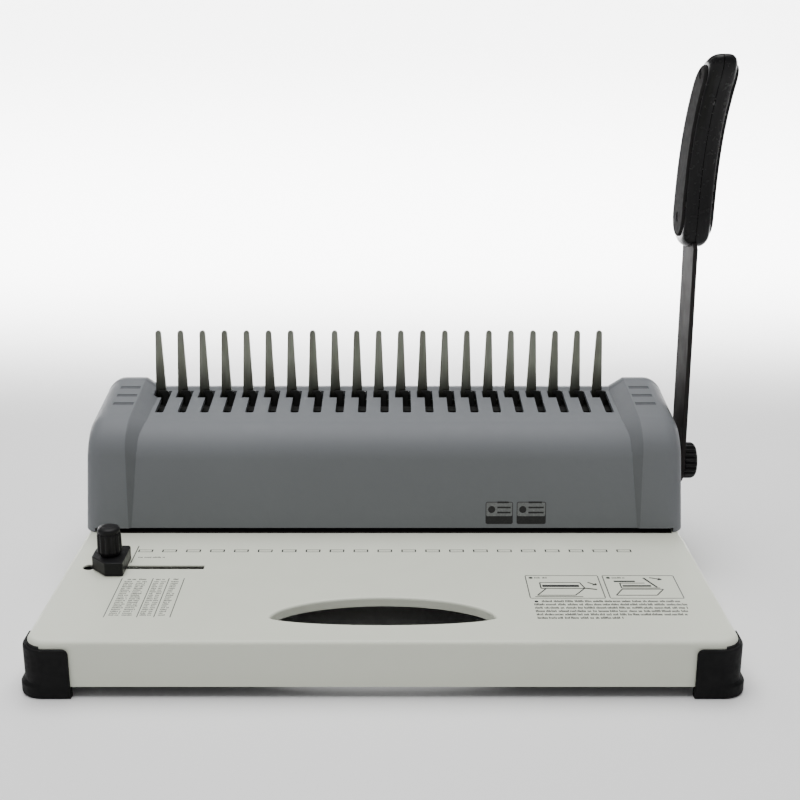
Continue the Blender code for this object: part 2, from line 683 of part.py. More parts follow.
def build_rake_crank(axis_empty):
    """Hub on the shaft, an arm down and back, and the pin that pushes the rake forward."""
    inner = SHAFT_RADIUS + GAP
    hub = [(inner, 0.1742), (0.0086, 0.1742), (0.0086, LEVER_X - 0.0002), (inner, LEVER_X - 0.0002)]
    crank = piece("rake_crank", turned(hub, 20, "X"), plated_steel(), axis_empty)
    tip_y = CRANK_RADIUS * math.sin(CRANK_ANGLE)
    tip_z = -CRANK_RADIUS * math.cos(CRANK_ANGLE)
    ends = circle(0.0, 0.0, 0.0078, 16) + circle(tip_y, tip_z, 0.0045, 12)
    arm = prism([ends[i] for i in convex_hull_2d(ends)], 0.1744, 0.1770, "X")
    boolean(crank, cutter("crank_arm", arm, axis_empty), "UNION")
    pin = prism(circle(tip_y, tip_z, 0.0025, 12), 0.1706, 0.1760, "X")
    boolean(crank, cutter("crank_pin", pin, axis_empty), "UNION")
    bore = prism(circle(0.0, 0.0, inner, 20), 0.165, 0.180, "X")
    boolean(crank, cutter("crank_bore", bore, axis_empty))


def grip_centre(height):
    """Offset to the rear of the grip's middle line, `height` above the lever axis."""
    share = (height - GRIP_LOW) / (GRIP_HIGH - GRIP_LOW)
    return 0.0085 - 0.0052 * share - 0.0433 * max(share, 0.0) ** 3



def grip_outline(rows=12):
    """The banana shape of the grip in side view, (y, z) from the lever axis."""
    def half_width(share):
        power = 13 if share < 0.5 else 7
        ends = max(0.0, 1 - abs(2 * share - 1) ** power) ** 0.5
        return (0.0178 - 0.0030 * share) * ends

    shares = [0.5 - 0.5 * math.cos(math.pi * i / rows) for i in range(rows + 1)]
    heights = [GRIP_LOW + (GRIP_HIGH - GRIP_LOW) * share for share in shares]
    front = [(grip_centre(z) - half_width(s), z) for s, z in zip(shares, heights)]
    rear = [(grip_centre(z) + half_width(s), z) for s, z in zip(shares, heights)]
    return front + list(reversed(rear[1:-1]))


def bar_outline(grow=0.0):
    """The lever bar: a round foot, a straight run, and a narrow tang inside the grip."""
    half = LEVER_HALF + grow
    tang = TANG_HALF + grow
    outline = [(-half * math.cos(turn), -half * math.sin(turn))
               for turn in [math.pi * i / 12 for i in range(13)]]
    shoulder = GRIP_LOW + 0.001
    neck = shoulder + 0.009
    top = TANG_TOP + grow
    levels = [neck + (top - neck) * i / 5 for i in range(6)]
    outline += [(LEVER_LEAN + half, shoulder)]
    outline += [(grip_centre(z) + tang, z) for z in levels]
    outline += [(grip_centre(z) - tang, z) for z in reversed(levels)]
    outline += [(LEVER_LEAN - half, shoulder)]
    return outline


def build_lever(axis_empty):
    near = LEVER_X
    far = LEVER_X + LEVER_THICK
    bar = piece("lever_bar", prism(bar_outline(), near, far, "X"), black_paint(), axis_empty)
    bore = prism(circle(0.0, 0.0, STEP_RADIUS + GAP, 20), near - 0.01, far + 0.01, "X")
    boolean(bar, cutter("lever_bore", bore, axis_empty))
    holes = bmesh.new()
    for height in GRIP_SCREWS:
        prism(circle(grip_centre(height), height, 0.0019, 12), 0.170, 0.1950, "X", holes)
    screw_holes = cutter("grip_screw_holes", holes, axis_empty)
    pocket = cutter("bar_pocket", prism(bar_outline(GAP), near - GAP, far + GAP, "X"), axis_empty)
    boolean(bar, screw_holes)
    for name, low, high in (("grip_inner_shell", GRIP_INNER, GRIP_SPLIT - GAP / 2),
                            ("grip_outer_shell", GRIP_SPLIT + GAP / 2, GRIP_OUTER)):
        shell = piece(name, grip_shell(low, high), black_plastic(), axis_empty)
        boolean(shell, pocket)
        boolean(shell, screw_holes)
    for name, height in zip(("grip_screw_lower", "grip_screw_upper"), GRIP_SCREWS):
        build_grip_screw(axis_empty, name, height)


def grip_shell(low, high):
    """Half the grip, split across X, with its outer edge rounded."""
    outline = grip_outline()
    outward = low < LEVER_X
    edge = 0.0042
    face, split = (low, high) if outward else (high, low)
    sign = 1.0 if outward else -1.0
    middle = (GRIP_LOW + GRIP_HIGH) / 2

    def ring(inset, x):
        shrunk = []
        for y, z in outline:
            centre = grip_centre(z)
            narrow = max(0.25, 1 - inset / 0.0165)
            height = middle + (z - middle) * (1 - inset / 0.057)
            shrunk.append((x, grip_centre(height) + (y - centre) * narrow, height))
        return shrunk

    rings = [ring(edge * (1 - math.sin(turn)), face + sign * edge * (1 - math.cos(turn)))
             for turn in (0.0, math.pi / 6, math.pi / 3, math.pi / 2)]
    rings.append(ring(0.0, split))
    return loft(rings)


def build_grip_screw(axis_empty, name, height):
    """A screw from the inner side; its head lies on the inner shell's face."""
    face = GRIP_INNER - GAP
    profile = [(0.0, face - 0.0006), (0.0024, face - 0.0006), (0.0031, face), (0.0016, face),
               (0.0016, GRIP_SCREW_END), (0.0, GRIP_SCREW_END)]
    piece(name, turned(profile, 12, "X"), plated_steel(), axis_empty, (0.0, grip_centre(height), height))


def fluted(radius, depth, flutes, share=1.0):
    """A circle with shallow flutes, as (u, v) points."""
    count = flutes * 2
    return [((radius - depth * (i % 2)) * share * math.cos(math.tau * i / count),
             (radius - depth * (i % 2)) * share * math.sin(math.tau * i / count)) for i in range(count)]


def build_lever_knob(axis_empty):
    start = LEVER_X + LEVER_THICK + GAP
    rings = [[(start, y, z) for y, z in fluted(KNOB_RADIUS, KNOB_FLUTE, KNOB_FLUTES, 0.94)],
             [(start + 0.0009, y, z) for y, z in fluted(KNOB_RADIUS, KNOB_FLUTE, KNOB_FLUTES)],
             [(KNOB_END - 0.0015, y, z) for y, z in fluted(KNOB_RADIUS, KNOB_FLUTE, KNOB_FLUTES)],
             [(KNOB_END, y, z) for y, z in fluted(KNOB_RADIUS, KNOB_FLUTE, KNOB_FLUTES, 0.88)]]
    knob = piece("lever_knob", loft(rings), black_plastic(), axis_empty)
    bore = prism(circle(0.0, 0.0, THREAD_RADIUS + GAP, 20), start - 0.01, SHAFT_END + GAP, "X")
    boolean(knob, cutter("knob_bore", bore, axis_empty))


def build_chip_tray(datum):
    """An open drawer under the die, drawn out to the rear by its lip."""
    wide = 0.1490
    tray = box((-wide, 0.150, 0.0090), (wide, BASE_DEPTH - SHEET, 0.0240))
    drawer = piece("chip_tray", tray, black_plastic(), datum)
    reach = DRAWER_HALF - GAP
    face = box((-reach, BASE_DEPTH - SHEET - 0.0002, 0.0083), (reach, BASE_DEPTH, 0.0267))
    boolean(drawer, cutter("drawer_face", face, datum), "UNION")
    lip = box((-0.022, BASE_DEPTH - 0.0005, 0.0230), (0.022, BASE_DEPTH + FOOT_FRONT, 0.0250))
    boolean(drawer, cutter("drawer_lip", lip, datum), "UNION")
    hollow = box((0.0018 - wide, 0.1518, 0.0108), (wide - 0.0018, BASE_DEPTH - SHEET - 0.001, 0.030))
    boolean(drawer, cutter("drawer_hollow", hollow, datum))
    for side, name in ((-1, "left_tray_rail"), (1, "right_tray_rail")):
        rail = [(0.1390, 0.0072), (0.1510, 0.0072), (0.1510, 0.0272), (0.1498, 0.0272),
                (0.1498, 0.0087), (0.1390, 0.0087)]
        outline = [(side * x, z) for x, z in rail]
        piece(name, prism(outline, 0.148, 0.236, "Y"), plated_steel(), datum)


def build_edge_guide(datum):
    """A paper side stop that slides along its slot and is clamped by a knob."""
    left = GUIDE_KNOB_X - 0.0101
    right = GUIDE_KNOB_X + 0.0095
    front = GUIDE_Y - 0.013
    rear = GUIDE_Y + 0.013
    outline = [(left + 0.005, front), (right, front), (right, rear)]
    outline += rounded_corner(left + 0.006, rear - 0.006, 0.006, 90, 3) + [(left, front + 0.006)]
    block = piece("edge_guide_block", prism(outline, BASE_TOP + GAP, BASE_TOP + 0.0083), black_plastic(), datum)
    nut = piece("edge_guide_nut", prism(circle(GUIDE_KNOB_X, GUIDE_Y, 0.0062, 6), 0.0255, 0.0300),
                plated_steel(), datum)
    bore = prism(circle(GUIDE_KNOB_X, GUIDE_Y, 0.0015 + GAP, 12), 0.02, 0.06)
    stud_hole = cutter("guide_stud_hole", bore, datum)
    boolean(block, stud_hole)
    boolean(nut, stud_hole)
    build_edge_guide_knob(empty("edge_guide_axis", datum, (GUIDE_KNOB_X, GUIDE_Y, 0.0)))


def build_edge_guide_knob(axis_empty):
    low = BASE_TOP + 0.0086
    top = BASE_TOP + 0.0256
    levels = [(0.92, low), (1.0, low + 0.0008), (1.0, top - 0.0042), (0.80, top - 0.0030),
              (0.74, top - 0.0008), (0.55, top)]
    rings = [[(x, y, z) for x, y in fluted(0.0072, 0.0006, 14, share)] for share, z in levels]
    knob = piece("edge_guide_knob", loft(rings), black_plastic(), axis_empty)
    stud = prism(circle(0.0, 0.0, 0.0015, 12), 0.0240, low + 0.004)
    boolean(knob, cutter("guide_stud", stud, axis_empty), "UNION")


def build_machine():
    for old in list(bpy.data.objects):
        bpy.data.objects.remove(old, do_unlink=True)
    datum = empty("machine_datum", None, (-CENTRE_X, -CENTRE_Y, 0.0))
    shaft_axis = empty("shaft_axis", datum, (0.0, SHAFT_Y, SHAFT_Z))
    lever_axis = empty("lever_axis", datum, (0.0, SHAFT_Y, SHAFT_Z))
    base = build_base(datum)
    build_feet(datum)
    build_cover(datum)
    frames = [build_side_frame(datum, "left_side_frame", -1), build_side_frame(datum, "right_side_frame", 1)]
    build_bush(shaft_axis, "left_shaft_bush", -1)
    build_bush(shaft_axis, "right_shaft_bush", 1)
    die, guide = build_punch_stack(datum)
    build_screws(datum, die, guide, frames, base)
    build_comb_plate(datum)
    build_hook_rake(datum)
    build_main_shaft(shaft_axis)
    build_cam(shaft_axis, "left_cam", -0.110)
    build_cam(shaft_axis, "right_cam", 0.110)
    build_punch_bar(datum)
    build_springs(datum)
    build_rake_crank(lever_axis)
    build_lever(lever_axis)
    build_lever_knob(lever_axis)
    build_chip_tray(datum)
    build_edge_guide(datum)


build_machine()
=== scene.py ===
import json
import math
import random

import bmesh
import bpy
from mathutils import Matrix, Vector


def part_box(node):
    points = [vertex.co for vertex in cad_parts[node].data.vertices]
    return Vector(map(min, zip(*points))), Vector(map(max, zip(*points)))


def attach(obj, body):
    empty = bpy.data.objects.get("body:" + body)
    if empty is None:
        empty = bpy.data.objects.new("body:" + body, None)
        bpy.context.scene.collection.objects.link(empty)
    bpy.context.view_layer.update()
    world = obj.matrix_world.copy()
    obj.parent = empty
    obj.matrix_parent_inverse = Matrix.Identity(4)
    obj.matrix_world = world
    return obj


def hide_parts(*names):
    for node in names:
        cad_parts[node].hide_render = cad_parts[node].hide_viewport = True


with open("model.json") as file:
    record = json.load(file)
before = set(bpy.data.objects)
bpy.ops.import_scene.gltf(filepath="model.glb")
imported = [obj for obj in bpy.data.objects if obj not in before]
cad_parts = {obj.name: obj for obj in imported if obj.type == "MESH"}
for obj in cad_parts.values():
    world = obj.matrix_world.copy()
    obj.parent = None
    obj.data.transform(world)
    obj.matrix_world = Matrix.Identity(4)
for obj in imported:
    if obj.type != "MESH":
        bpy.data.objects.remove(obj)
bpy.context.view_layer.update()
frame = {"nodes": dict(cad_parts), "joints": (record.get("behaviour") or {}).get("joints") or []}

# The looks of a comb binding machine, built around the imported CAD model.
# Pieces are modelled in machine coordinates: X = 0 is the mid-plane of the base, Y = 0 its
# front edge and Z = 0 the floor. Every object sits at MACHINE, which is that origin in the frame.

BASE_LOW, BASE_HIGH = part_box("base_table")
COVER_LOW, COVER_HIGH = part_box("top_cover")
MACHINE = Vector(((BASE_LOW.x + BASE_HIGH.x) / 2, BASE_LOW.y, 0.0))
AXIS = Vector(frame["joints"][0]["pos_m"]) - MACHINE     # the lever and punch shaft's axis

BASE_HALF = (BASE_HIGH.x - BASE_LOW.x) / 2
BASE_DEPTH = BASE_HIGH.y - BASE_LOW.y
TABLE = BASE_HIGH.z
SKIRT_BOTTOM = BASE_LOW.z
BASE_CORNER = 0.011
SHEET = 0.001
COVER_TOE = 0.0036                  # how far the cover's foot juts forward of its face
HOUSING_Y = COVER_LOW.y - MACHINE.y + COVER_TOE
HOUSING_DEPTH = COVER_HIGH.y - COVER_LOW.y - COVER_TOE
COVER_HALF = (COVER_HIGH.x - COVER_LOW.x) / 2
COVER_DRAFT = 0.0036                # how far an end of the cover leans in over its height
COVER_WALL = 0.0025
THROAT = 0.0031                     # the paper throat's height
THROAT_HALF = 0.179
FRONT_ROUND = 0.0215                # radius of the cover's front top edge, and of its rear one
REAR_ROUND = 0.0130
CAP_SLOPE = (0.1567, 0.1512, 0.1478)    # where the slope to a cap starts: foot, bend and top
CAP_EDGE = (0.1580, 0.1575)         # and where it ends: up to the bend, and on top
CAP_BEND = 0.85                     # where the bend starts, from 0 at the foot to 1 on top
GROOVE_PLACES = (0.0363, 0.0486, 0.0608)    # distances behind the cover's front
GROOVE_ENDS = (0.1588, 0.1718)
GROOVE_DEPTH = 0.0010
GROOVE_HALF = 0.0019
HAND_HOLE_HALF = 0.060
HAND_HOLE_Y = 0.028
HAND_HOLE_REAR = 0.0242             # how far the rear arc bulges, and the front one
HAND_HOLE_FRONT = 0.008
HAND_HOLE_POWER = 0.56              # a half would make each arc an ellipse
GUIDE_SLOT_HALF = 0.0025
GUIDE_SLOT_ENTRY = 0.0038           # radius of the keyhole's round end
GUIDE_SLOT_X = (-0.1705, -0.104)
GUIDE_SLOT_Y = 0.092
PITCH = 0.0142875
HOLES = [(index - 10) * PITCH for index in range(21)]
INK = 0.00005                       # thickness of printed marks


# ---- mesh helpers -------------------------------------------------------------------------
def place_on(axis, u, v, along):
    if axis == "X":
        return (along, u, v)
    if axis == "Y":
        return (u, along, v)
    return (u, v, along)


def prism(outline, low, high, axis="Z", bm=None):
    bm = bm or bmesh.new()
    start = [bm.verts.new(place_on(axis, u, v, low)) for u, v in outline]
    end = [bm.verts.new(place_on(axis, u, v, high)) for u, v in outline]
    bm.faces.new(start)
    bm.faces.new(end)
    for index in range(len(outline)):
        after = (index + 1) % len(outline)
        bm.faces.new((start[index], start[after], end[after], end[index]))
    return bm


def box(low, high, bm=None):
    outline = [(low[0], low[1]), (high[0], low[1]), (high[0], high[1]), (low[0], high[1])]
    return prism(outline, low[2], high[2], "Z", bm)


def loft(rings, bm=None):
    bm = bm or bmesh.new()
    grid = [[bm.verts.new(point) for point in ring] for ring in rings]
    bm.faces.new(grid[0])
    bm.faces.new(grid[-1])
    for near, far in zip(grid, grid[1:]):
        for index in range(len(near)):
            after = (index + 1) % len(near)
            bm.faces.new((near[index], near[after], far[after], far[index]))
    return bm


def circle(u, v, radius, sides):
    return [(u + radius * math.cos(math.tau * i / sides), v + radius * math.sin(math.tau * i / sides))
            for i in range(sides)]


def corner(u, v, radius, degrees, steps):
    first = math.radians(degrees)
    return [(u + radius * math.cos(first + math.pi / 2 * i / steps),
             v + radius * math.sin(first + math.pi / 2 * i / steps)) for i in range(steps + 1)]


def rounded_rectangle(low_u, low_v, high_u, high_v, radius, steps=6):
    return (corner(high_u - radius, high_v - radius, radius, 0, steps)
            + corner(low_u + radius, high_v - radius, radius, 90, steps)
            + corner(low_u + radius, low_v + radius, radius, 180, steps)
            + corner(high_u - radius, low_v + radius, radius, 270, steps))


def fillet(before, point, after, radius, steps):
    """Points that round the corner at `point` between two straight runs."""
    first = (Vector(before) - Vector(point)).normalized()
    second = (Vector(after) - Vector(point)).normalized()
    half_angle = first.angle(second) / 2
    centre = Vector(point) + (first + second).normalized() * (radius / math.sin(half_angle))
    back = radius / math.tan(half_angle)
    start = (Vector(point) + first * back - centre).normalized()
    end = (Vector(point) + second * back - centre).normalized()
    return [tuple(centre + start.slerp(end, i / steps) * radius) for i in range(steps + 1)]


def raw_object(name, bm):
    bmesh.ops.recalc_face_normals(bm, faces=bm.faces)
    mesh = bpy.data.meshes.new(name)
    bm.to_mesh(mesh)
    bm.free()
    made = bpy.data.objects.new(name, mesh)
    bpy.context.scene.collection.objects.link(made)
    made.location = MACHINE
    return made


def combine(target, bm, operation="DIFFERENCE"):
    """Cuts or joins a solid with the target's mesh, and keeps only the result."""
    tool = raw_object("tool", bm)
    step = target.modifiers.new("combine", "BOOLEAN")
    step.operation = operation
    step.solver = "EXACT"
    step.object = tool
    bake_modifiers(target)
    bpy.data.objects.remove(tool, do_unlink=True)


def bake_modifiers(target):
    bpy.context.view_layer.update()
    graph = bpy.context.evaluated_depsgraph_get()
    mesh = bpy.data.meshes.new_from_object(target.evaluated_get(graph))
    target.modifiers.clear()
    target.data = mesh


def soften(target, width, segments=2, angle=40.0):
    """A small round along every edge sharper than `angle`."""
    step = target.modifiers.new("edges", "BEVEL")
    step.width = width
    step.segments = segments
    step.limit_method = "ANGLE"
    step.angle_limit = math.radians(angle)
    step.harden_normals = False
    bake_modifiers(target)


def second_look(target, look, chosen):
    """Gives the faces that `chosen` picks by centre and normal another material."""
    target.data.materials.append(look)
    for face in target.data.polygons:
        if chosen(face.center, face.normal):
            face.material_index = len(target.data.materials) - 1


def dress(target, body, look, nodes=(), sharp=32.0):
    """Gives a finished piece its material, its smooth shading and the body that it rides on."""
    target.data.materials.clear()
    target.data.materials.append(look)
    target.data.shade_smooth()
    target.data.set_sharp_from_angle(angle=math.radians(sharp))
    weighted = target.modifiers.new("normals", "WEIGHTED_NORMAL")
    weighted.keep_sharp = True
    weighted.weight = 80
    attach(target, body)
    if nodes:
        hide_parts(*nodes)
    return target


# ---- materials ----------------------------------------------------------------------------
class Look:
    """A Principled material with a few helpers that wire noise into colour, gloss and bump."""

    def __init__(self, name, colour, roughness, metallic=0.0, specular=0.5):
        self.material = bpy.data.materials.new(name)
        self.material.use_nodes = True
        self.tree = self.material.node_tree
        self.shader = self.tree.nodes["Principled BSDF"]
        self.shader.inputs["Base Color"].default_value = (*colour, 1.0)
        self.shader.inputs["Roughness"].default_value = roughness
        self.shader.inputs["Metallic"].default_value = metallic
        self.shader.inputs["Specular IOR Level"].default_value = specular
        self.colour = colour
        self.height = None

    def node(self, kind, **settings):
        made = self.tree.nodes.new(kind)
        for key, value in settings.items():
            setattr(made, key, value)
        return made

    def link(self, output, target):
        self.tree.links.new(output, target)

    def noise(self, scale, detail=2.0, stretch=(1.0, 1.0, 1.0), roughness=0.5):
        coordinates = self.node("ShaderNodeTexCoord")
        mapping = self.node("ShaderNodeMapping")
        mapping.inputs["Scale"].default_value = stretch
        texture = self.node("ShaderNodeTexNoise")
        texture.inputs["Scale"].default_value = scale
        texture.inputs["Detail"].default_value = detail
        texture.inputs["Roughness"].default_value = roughness
        self.link(coordinates.outputs["Object"], mapping.inputs["Vector"])
        self.link(mapping.outputs["Vector"], texture.inputs["Vector"])
        return texture.outputs["Fac"]

    def spread(self, value, low, high, start=0.35, stop=0.65):
        """Maps a noise value between start and stop to low and high."""
        ranged = self.node("ShaderNodeMapRange")
        ranged.inputs["From Min"].default_value = start
        ranged.inputs["From Max"].default_value = stop
        ranged.inputs["To Min"].default_value = low
        ranged.inputs["To Max"].default_value = high
        self.link(value, ranged.inputs["Value"])
        return ranged.outputs["Result"]

    def tint(self, value, other, start=0.35, stop=0.65):
        """Blends the base colour towards another where the noise is high."""
        share = self.spread(value, 0.0, 1.0, start, stop)
        mix = self.node("ShaderNodeMix", data_type="RGBA")
        mix.inputs["A"].default_value = (*self.colour, 1.0)
        mix.inputs["B"].default_value = (*other, 1.0)
        self.link(share, mix.inputs["Factor"])
        self.link(mix.outputs["Result"], self.shader.inputs["Base Color"])
        return self

    def gloss(self, value, low, high, start=0.35, stop=0.65):
        self.link(self.spread(value, low, high, start, stop), self.shader.inputs["Roughness"])
        return self

    def darken_below(self, start, stop, factor):
        """Multiplies the colour by a factor that rises to 1 between two heights of the piece."""
        coordinates = self.node("ShaderNodeTexCoord")
        split = self.node("ShaderNodeSeparateXYZ")
        self.link(coordinates.outputs["Object"], split.inputs["Vector"])
        product = self.node("ShaderNodeVectorMath", operation="SCALE")
        self.link(self.shader.inputs["Base Color"].links[0].from_socket, product.inputs[0])
        self.link(self.spread(split.outputs["Z"], factor, 1.0, start, stop), product.inputs["Scale"])
        self.link(product.outputs["Vector"], self.shader.inputs["Base Color"])
        return self

    def bump(self, value, distance, strength=1.0):
        made = self.node("ShaderNodeBump")
        made.inputs["Distance"].default_value = distance
        made.inputs["Strength"].default_value = strength
        self.link(value, made.inputs["Height"])
        if self.height:
            self.link(self.height, made.inputs["Normal"])
        self.height = made.outputs["Normal"]
        self.link(self.height, self.shader.inputs["Normal"])
        return self


def powder_coat():
    look = Look("powder_coat_off_white", (0.655, 0.677, 0.580), 0.42, specular=0.35)
    look.tint(look.noise(9.0, 3.0), (0.636, 0.657, 0.563))
    look.gloss(look.noise(60.0, 2.0), 0.38, 0.48)
    look.bump(look.noise(900.0, 2.0), 0.00004, 0.35)
    look.bump(look.noise(260.0, 1.0), 0.00006, 0.30)
    return look.material


def painted_underside_shade():
    """Painted shade: the tray's inside is near black, which darkens what shows through the hand hole as
    shade would.
    """
    look = Look("underside_painted_shade", (0.040, 0.041, 0.040), 0.65, specular=0.10)
    look.tint(look.noise(30.0, 3.0), (0.055, 0.056, 0.054))
    look.bump(look.noise(700.0, 2.0), 0.00004, 0.4)
    return look.material


def grey_abs(name="grained_grey_abs", shade=1.0):
    look = Look(name, tuple(shade * part for part in (0.162, 0.171, 0.181)), 0.50, specular=0.10)
    look.tint(look.noise(7.0, 2.0), tuple(shade * part for part in (0.154, 0.162, 0.172)))
    look.gloss(look.noise(120.0, 2.0), 0.44, 0.54)
    look.bump(look.noise(2600.0, 2.0), 0.00003, 0.5)
    look.bump(look.noise(900.0, 2.0), 0.00003, 0.4)
    return look.material


def groove_shadow():
    """The matt floor of the cover's cap grooves, coloured dark as painted shade for the grooves."""
    look = Look("groove_floor", (0.085, 0.089, 0.095), 0.75, specular=0.10)
    look.tint(look.noise(300.0, 2.0), (0.100, 0.105, 0.112))
    look.bump(look.noise(1200.0), 0.00003, 0.4)
    return look.material


def black_moulding(name="black_moulding", low=0.34, high=0.46, specular=0.14, grain=0.45):
    look = Look(name, (0.0085, 0.0085, 0.0090), 0.40, specular=specular)
    look.tint(look.noise(40.0, 2.0), (0.0110, 0.0110, 0.0115))
    look.gloss(look.noise(300.0, 3.0), low, high)
    look.bump(look.noise(2200.0, 2.0), 0.00003, grain)
    return look.material


def strip_moulding():
    """The matt strips along the two sides of the grip."""
    look = Look("grip_strip_moulding", (0.0200, 0.0197, 0.0195), 0.52, specular=0.002)
    look.tint(look.noise(40.0, 2.0), (0.0225, 0.0222, 0.0220))
    look.gloss(look.noise(300.0, 3.0), 0.45, 0.60)
    look.bump(look.noise(2200.0, 2.0), 0.00003, 0.45)
    return look.material


def rubber():
    look = Look("black_foot_plastic", (0.0060, 0.0061, 0.0063), 0.60, specular=0.08)
    look.tint(look.noise(35.0, 3.0), (0.0090, 0.0090, 0.0093))
    look.gloss(look.noise(400.0, 2.0), 0.52, 0.68)
    look.bump(look.noise(1800.0, 2.0), 0.00004, 0.5)
    return look.material


def black_paint():
    look = Look("black_paint", (0.0240, 0.0222, 0.0218), 0.35, specular=0.0025)
    look.gloss(look.noise(80.0, 3.0), 0.28, 0.40)
    look.bump(look.noise(500.0, 2.0), 0.00003, 0.25)
    return look.material


def rolled_steel():
    """Dull, slightly greenish spring steel, brushed along its length."""
    look = Look("rolled_steel", (0.215, 0.226, 0.190), 0.36, metallic=1.0)
    look.tint(look.noise(90.0, 3.0, (1.0, 1.0, 0.25)), (0.150, 0.155, 0.126))
    look.gloss(look.noise(1500.0, 3.0, (1.0, 1.0, 0.04)), 0.30, 0.48)
    look.bump(look.noise(2500.0, 2.0, (1.0, 1.0, 0.03)), 0.00002, 0.4)
    # Painted shade: the fingers darken towards their roots, standing in for the dark housing that they
    # reflect there.
    look.darken_below(TABLE + 0.072, TABLE + 0.094, 0.45)
    return look.material


def painted_shade_hook_steel():
    """The hook strip: strip steel coloured near black and dull, as painted shade, so that the slots over it
    read dark.
    """
    look = Look("hook_steel_painted_shade", (0.0180, 0.0185, 0.0180), 0.50, specular=0.02)
    look.tint(look.noise(120.0, 3.0, (0.3, 1.0, 1.0)), (0.0260, 0.0265, 0.0255))
    look.gloss(look.noise(900.0, 3.0, (0.1, 1.0, 1.0)), 0.42, 0.60)
    look.bump(look.noise(1800.0, 2.0, (0.1, 1.0, 1.0)), 0.00002, 0.3)
    return look.material


def zinc_plate(name="zinc_plate", colour=(0.50, 0.50, 0.48)):
    look = Look(name, colour, 0.34, metallic=1.0)
    look.tint(look.noise(70.0, 3.0), tuple(0.82 * part for part in colour))
    look.gloss(look.noise(400.0, 3.0), 0.26, 0.44)
    look.bump(look.noise(1400.0, 2.0), 0.00002, 0.3)
    return look.material


def turned_brass():
    look = Look("turned_brass", (0.56, 0.42, 0.18), 0.36, metallic=1.0)
    look.tint(look.noise(120.0, 2.0), (0.46, 0.34, 0.15))
    look.gloss(look.noise(1200.0, 2.0, (12.0, 1.0, 1.0)), 0.28, 0.44)
    look.bump(look.noise(1200.0, 2.0, (12.0, 1.0, 1.0)), 0.00002, 0.3)
    return look.material


def print_ink(name, colour):
    look = Look(name, colour, 0.55, specular=0.3)
    look.tint(look.noise(900.0, 2.0), tuple(1.3 * part + 0.002 for part in colour))
    look.gloss(look.noise(700.0), 0.50, 0.62)
    return look.material


POWDER = powder_coat()
UNDERSIDE_SHADE = painted_underside_shade()
GREY = grey_abs()
# A copy of the grey at 0.8 brightness: painted shade for the sideways-facing slope bands of the cover.
GREY_PAINTED_SHADE = grey_abs("grained_grey_abs_slope_painted_shade", 0.80)
BLACK = black_moulding()
GRIP_GLOSS = black_moulding("grip_moulding", 0.22, 0.28, 0.12, 0.03)
GRIP_MATT = strip_moulding()
RUBBER = rubber()
PAINT = black_paint()
STEEL = rolled_steel()
HOOK_SHADE_STEEL = painted_shade_hook_steel()
GROOVE = groove_shadow()
ZINC = zinc_plate()
TOOL = zinc_plate("ground_tool_steel", (0.38, 0.38, 0.39))
BRASS = turned_brass()
LABEL = print_ink("label_field_grey", (0.135, 0.140, 0.143))
INK_DARK = print_ink("ink_dark_grey", (0.012, 0.012, 0.013))
INK_GREY = print_ink("ink_mid_grey", (0.060, 0.062, 0.061))


# ---- camera, light and floor --------------------------------------------------------------
def camera():
    data = bpy.data.cameras.new("camera")
    data.lens = 56.3
    data.sensor_width = 36.0
    data.shift_x = 0.01
    made = bpy.data.objects.new("camera", data)
    bpy.context.scene.collection.objects.link(made)
    made.location = MACHINE + Vector((0.0048, -0.5752, TABLE + 0.3001))
    made.rotation_euler = (math.radians(73.4), 0.0, 0.0)
    bpy.context.scene.camera = made


def area_light(name, location, target, size, power, spread=180.0):
    data = bpy.data.lights.new(name, "AREA")
    data.shape = "RECTANGLE"
    data.size, data.size_y = size
    data.energy = power
    data.spread = math.radians(spread)
    made = bpy.data.objects.new(name, data)
    bpy.context.scene.collection.objects.link(made)
    made.location = location
    direction = Vector(target) - Vector(location)
    made.rotation_euler = direction.to_track_quat("-Z", "Y").to_euler()


def studio():
    world = bpy.data.worlds.new("studio")
    world.use_nodes = True
    background = world.node_tree.nodes["Background"]
    background.inputs["Color"].default_value = (1.0, 1.0, 1.0, 1.0)
    background.inputs["Strength"].default_value = 0.36
    bpy.context.scene.world = world
    area_light("overhead_softbox", (-0.1, 0.10, 1.5), (0.0, 0.08, 0.0), (1.6, 1.2), 34.0)
    area_light("backdrop_wash", (0.0, 0.66, 1.0), (0.0, 1.10, 0.10), (2.4, 0.3), 54.0, 80.0)

    bend = 0.95
    radius = 0.30
    profile = [(-4.0, 0.0), (bend, 0.0)]
    profile += [(bend + radius * math.sin(turn), radius - radius * math.cos(turn))
                for turn in [math.pi / 2 * i / 16 for i in range(1, 17)]] + [(bend + radius, 0.40)]
    bm = bmesh.new()
    rows = [[bm.verts.new((x, y, z)) for x in (-6.0, 6.0)] for y, z in profile]
    for near, far in zip(rows, rows[1:]):
        bm.faces.new((near[0], near[1], far[1], far[0]))
    mesh = bpy.data.meshes.new("studio_floor")
    bm.to_mesh(mesh)
    bm.free()
    mesh.shade_smooth()
    floor = bpy.data.objects.new("studio_floor", mesh)
    bpy.context.scene.collection.objects.link(floor)
    look = Look("white_floor", (0.90, 0.90, 0.90), 0.6, specular=0.2)
    mesh.materials.append(look.material)


# ---- base ---------------------------------------------------------------------------------
def base_outline(grow, steps=12):
    return rounded_rectangle(-BASE_HALF - grow, -grow, BASE_HALF + grow, BASE_DEPTH + grow,
                             BASE_CORNER + grow, steps)


def tray_shape(grow, bottom, top, edge, steps):
    levels = [(grow, bottom)]
    levels += [(grow - edge * (1 - math.cos(turn)), top - edge * (1 - math.sin(turn)))
               for turn in [math.pi / 2 * i / steps for i in range(steps + 1)]]
    return loft([[(x, y, z) for x, y in base_outline(inset)] for inset, z in levels])


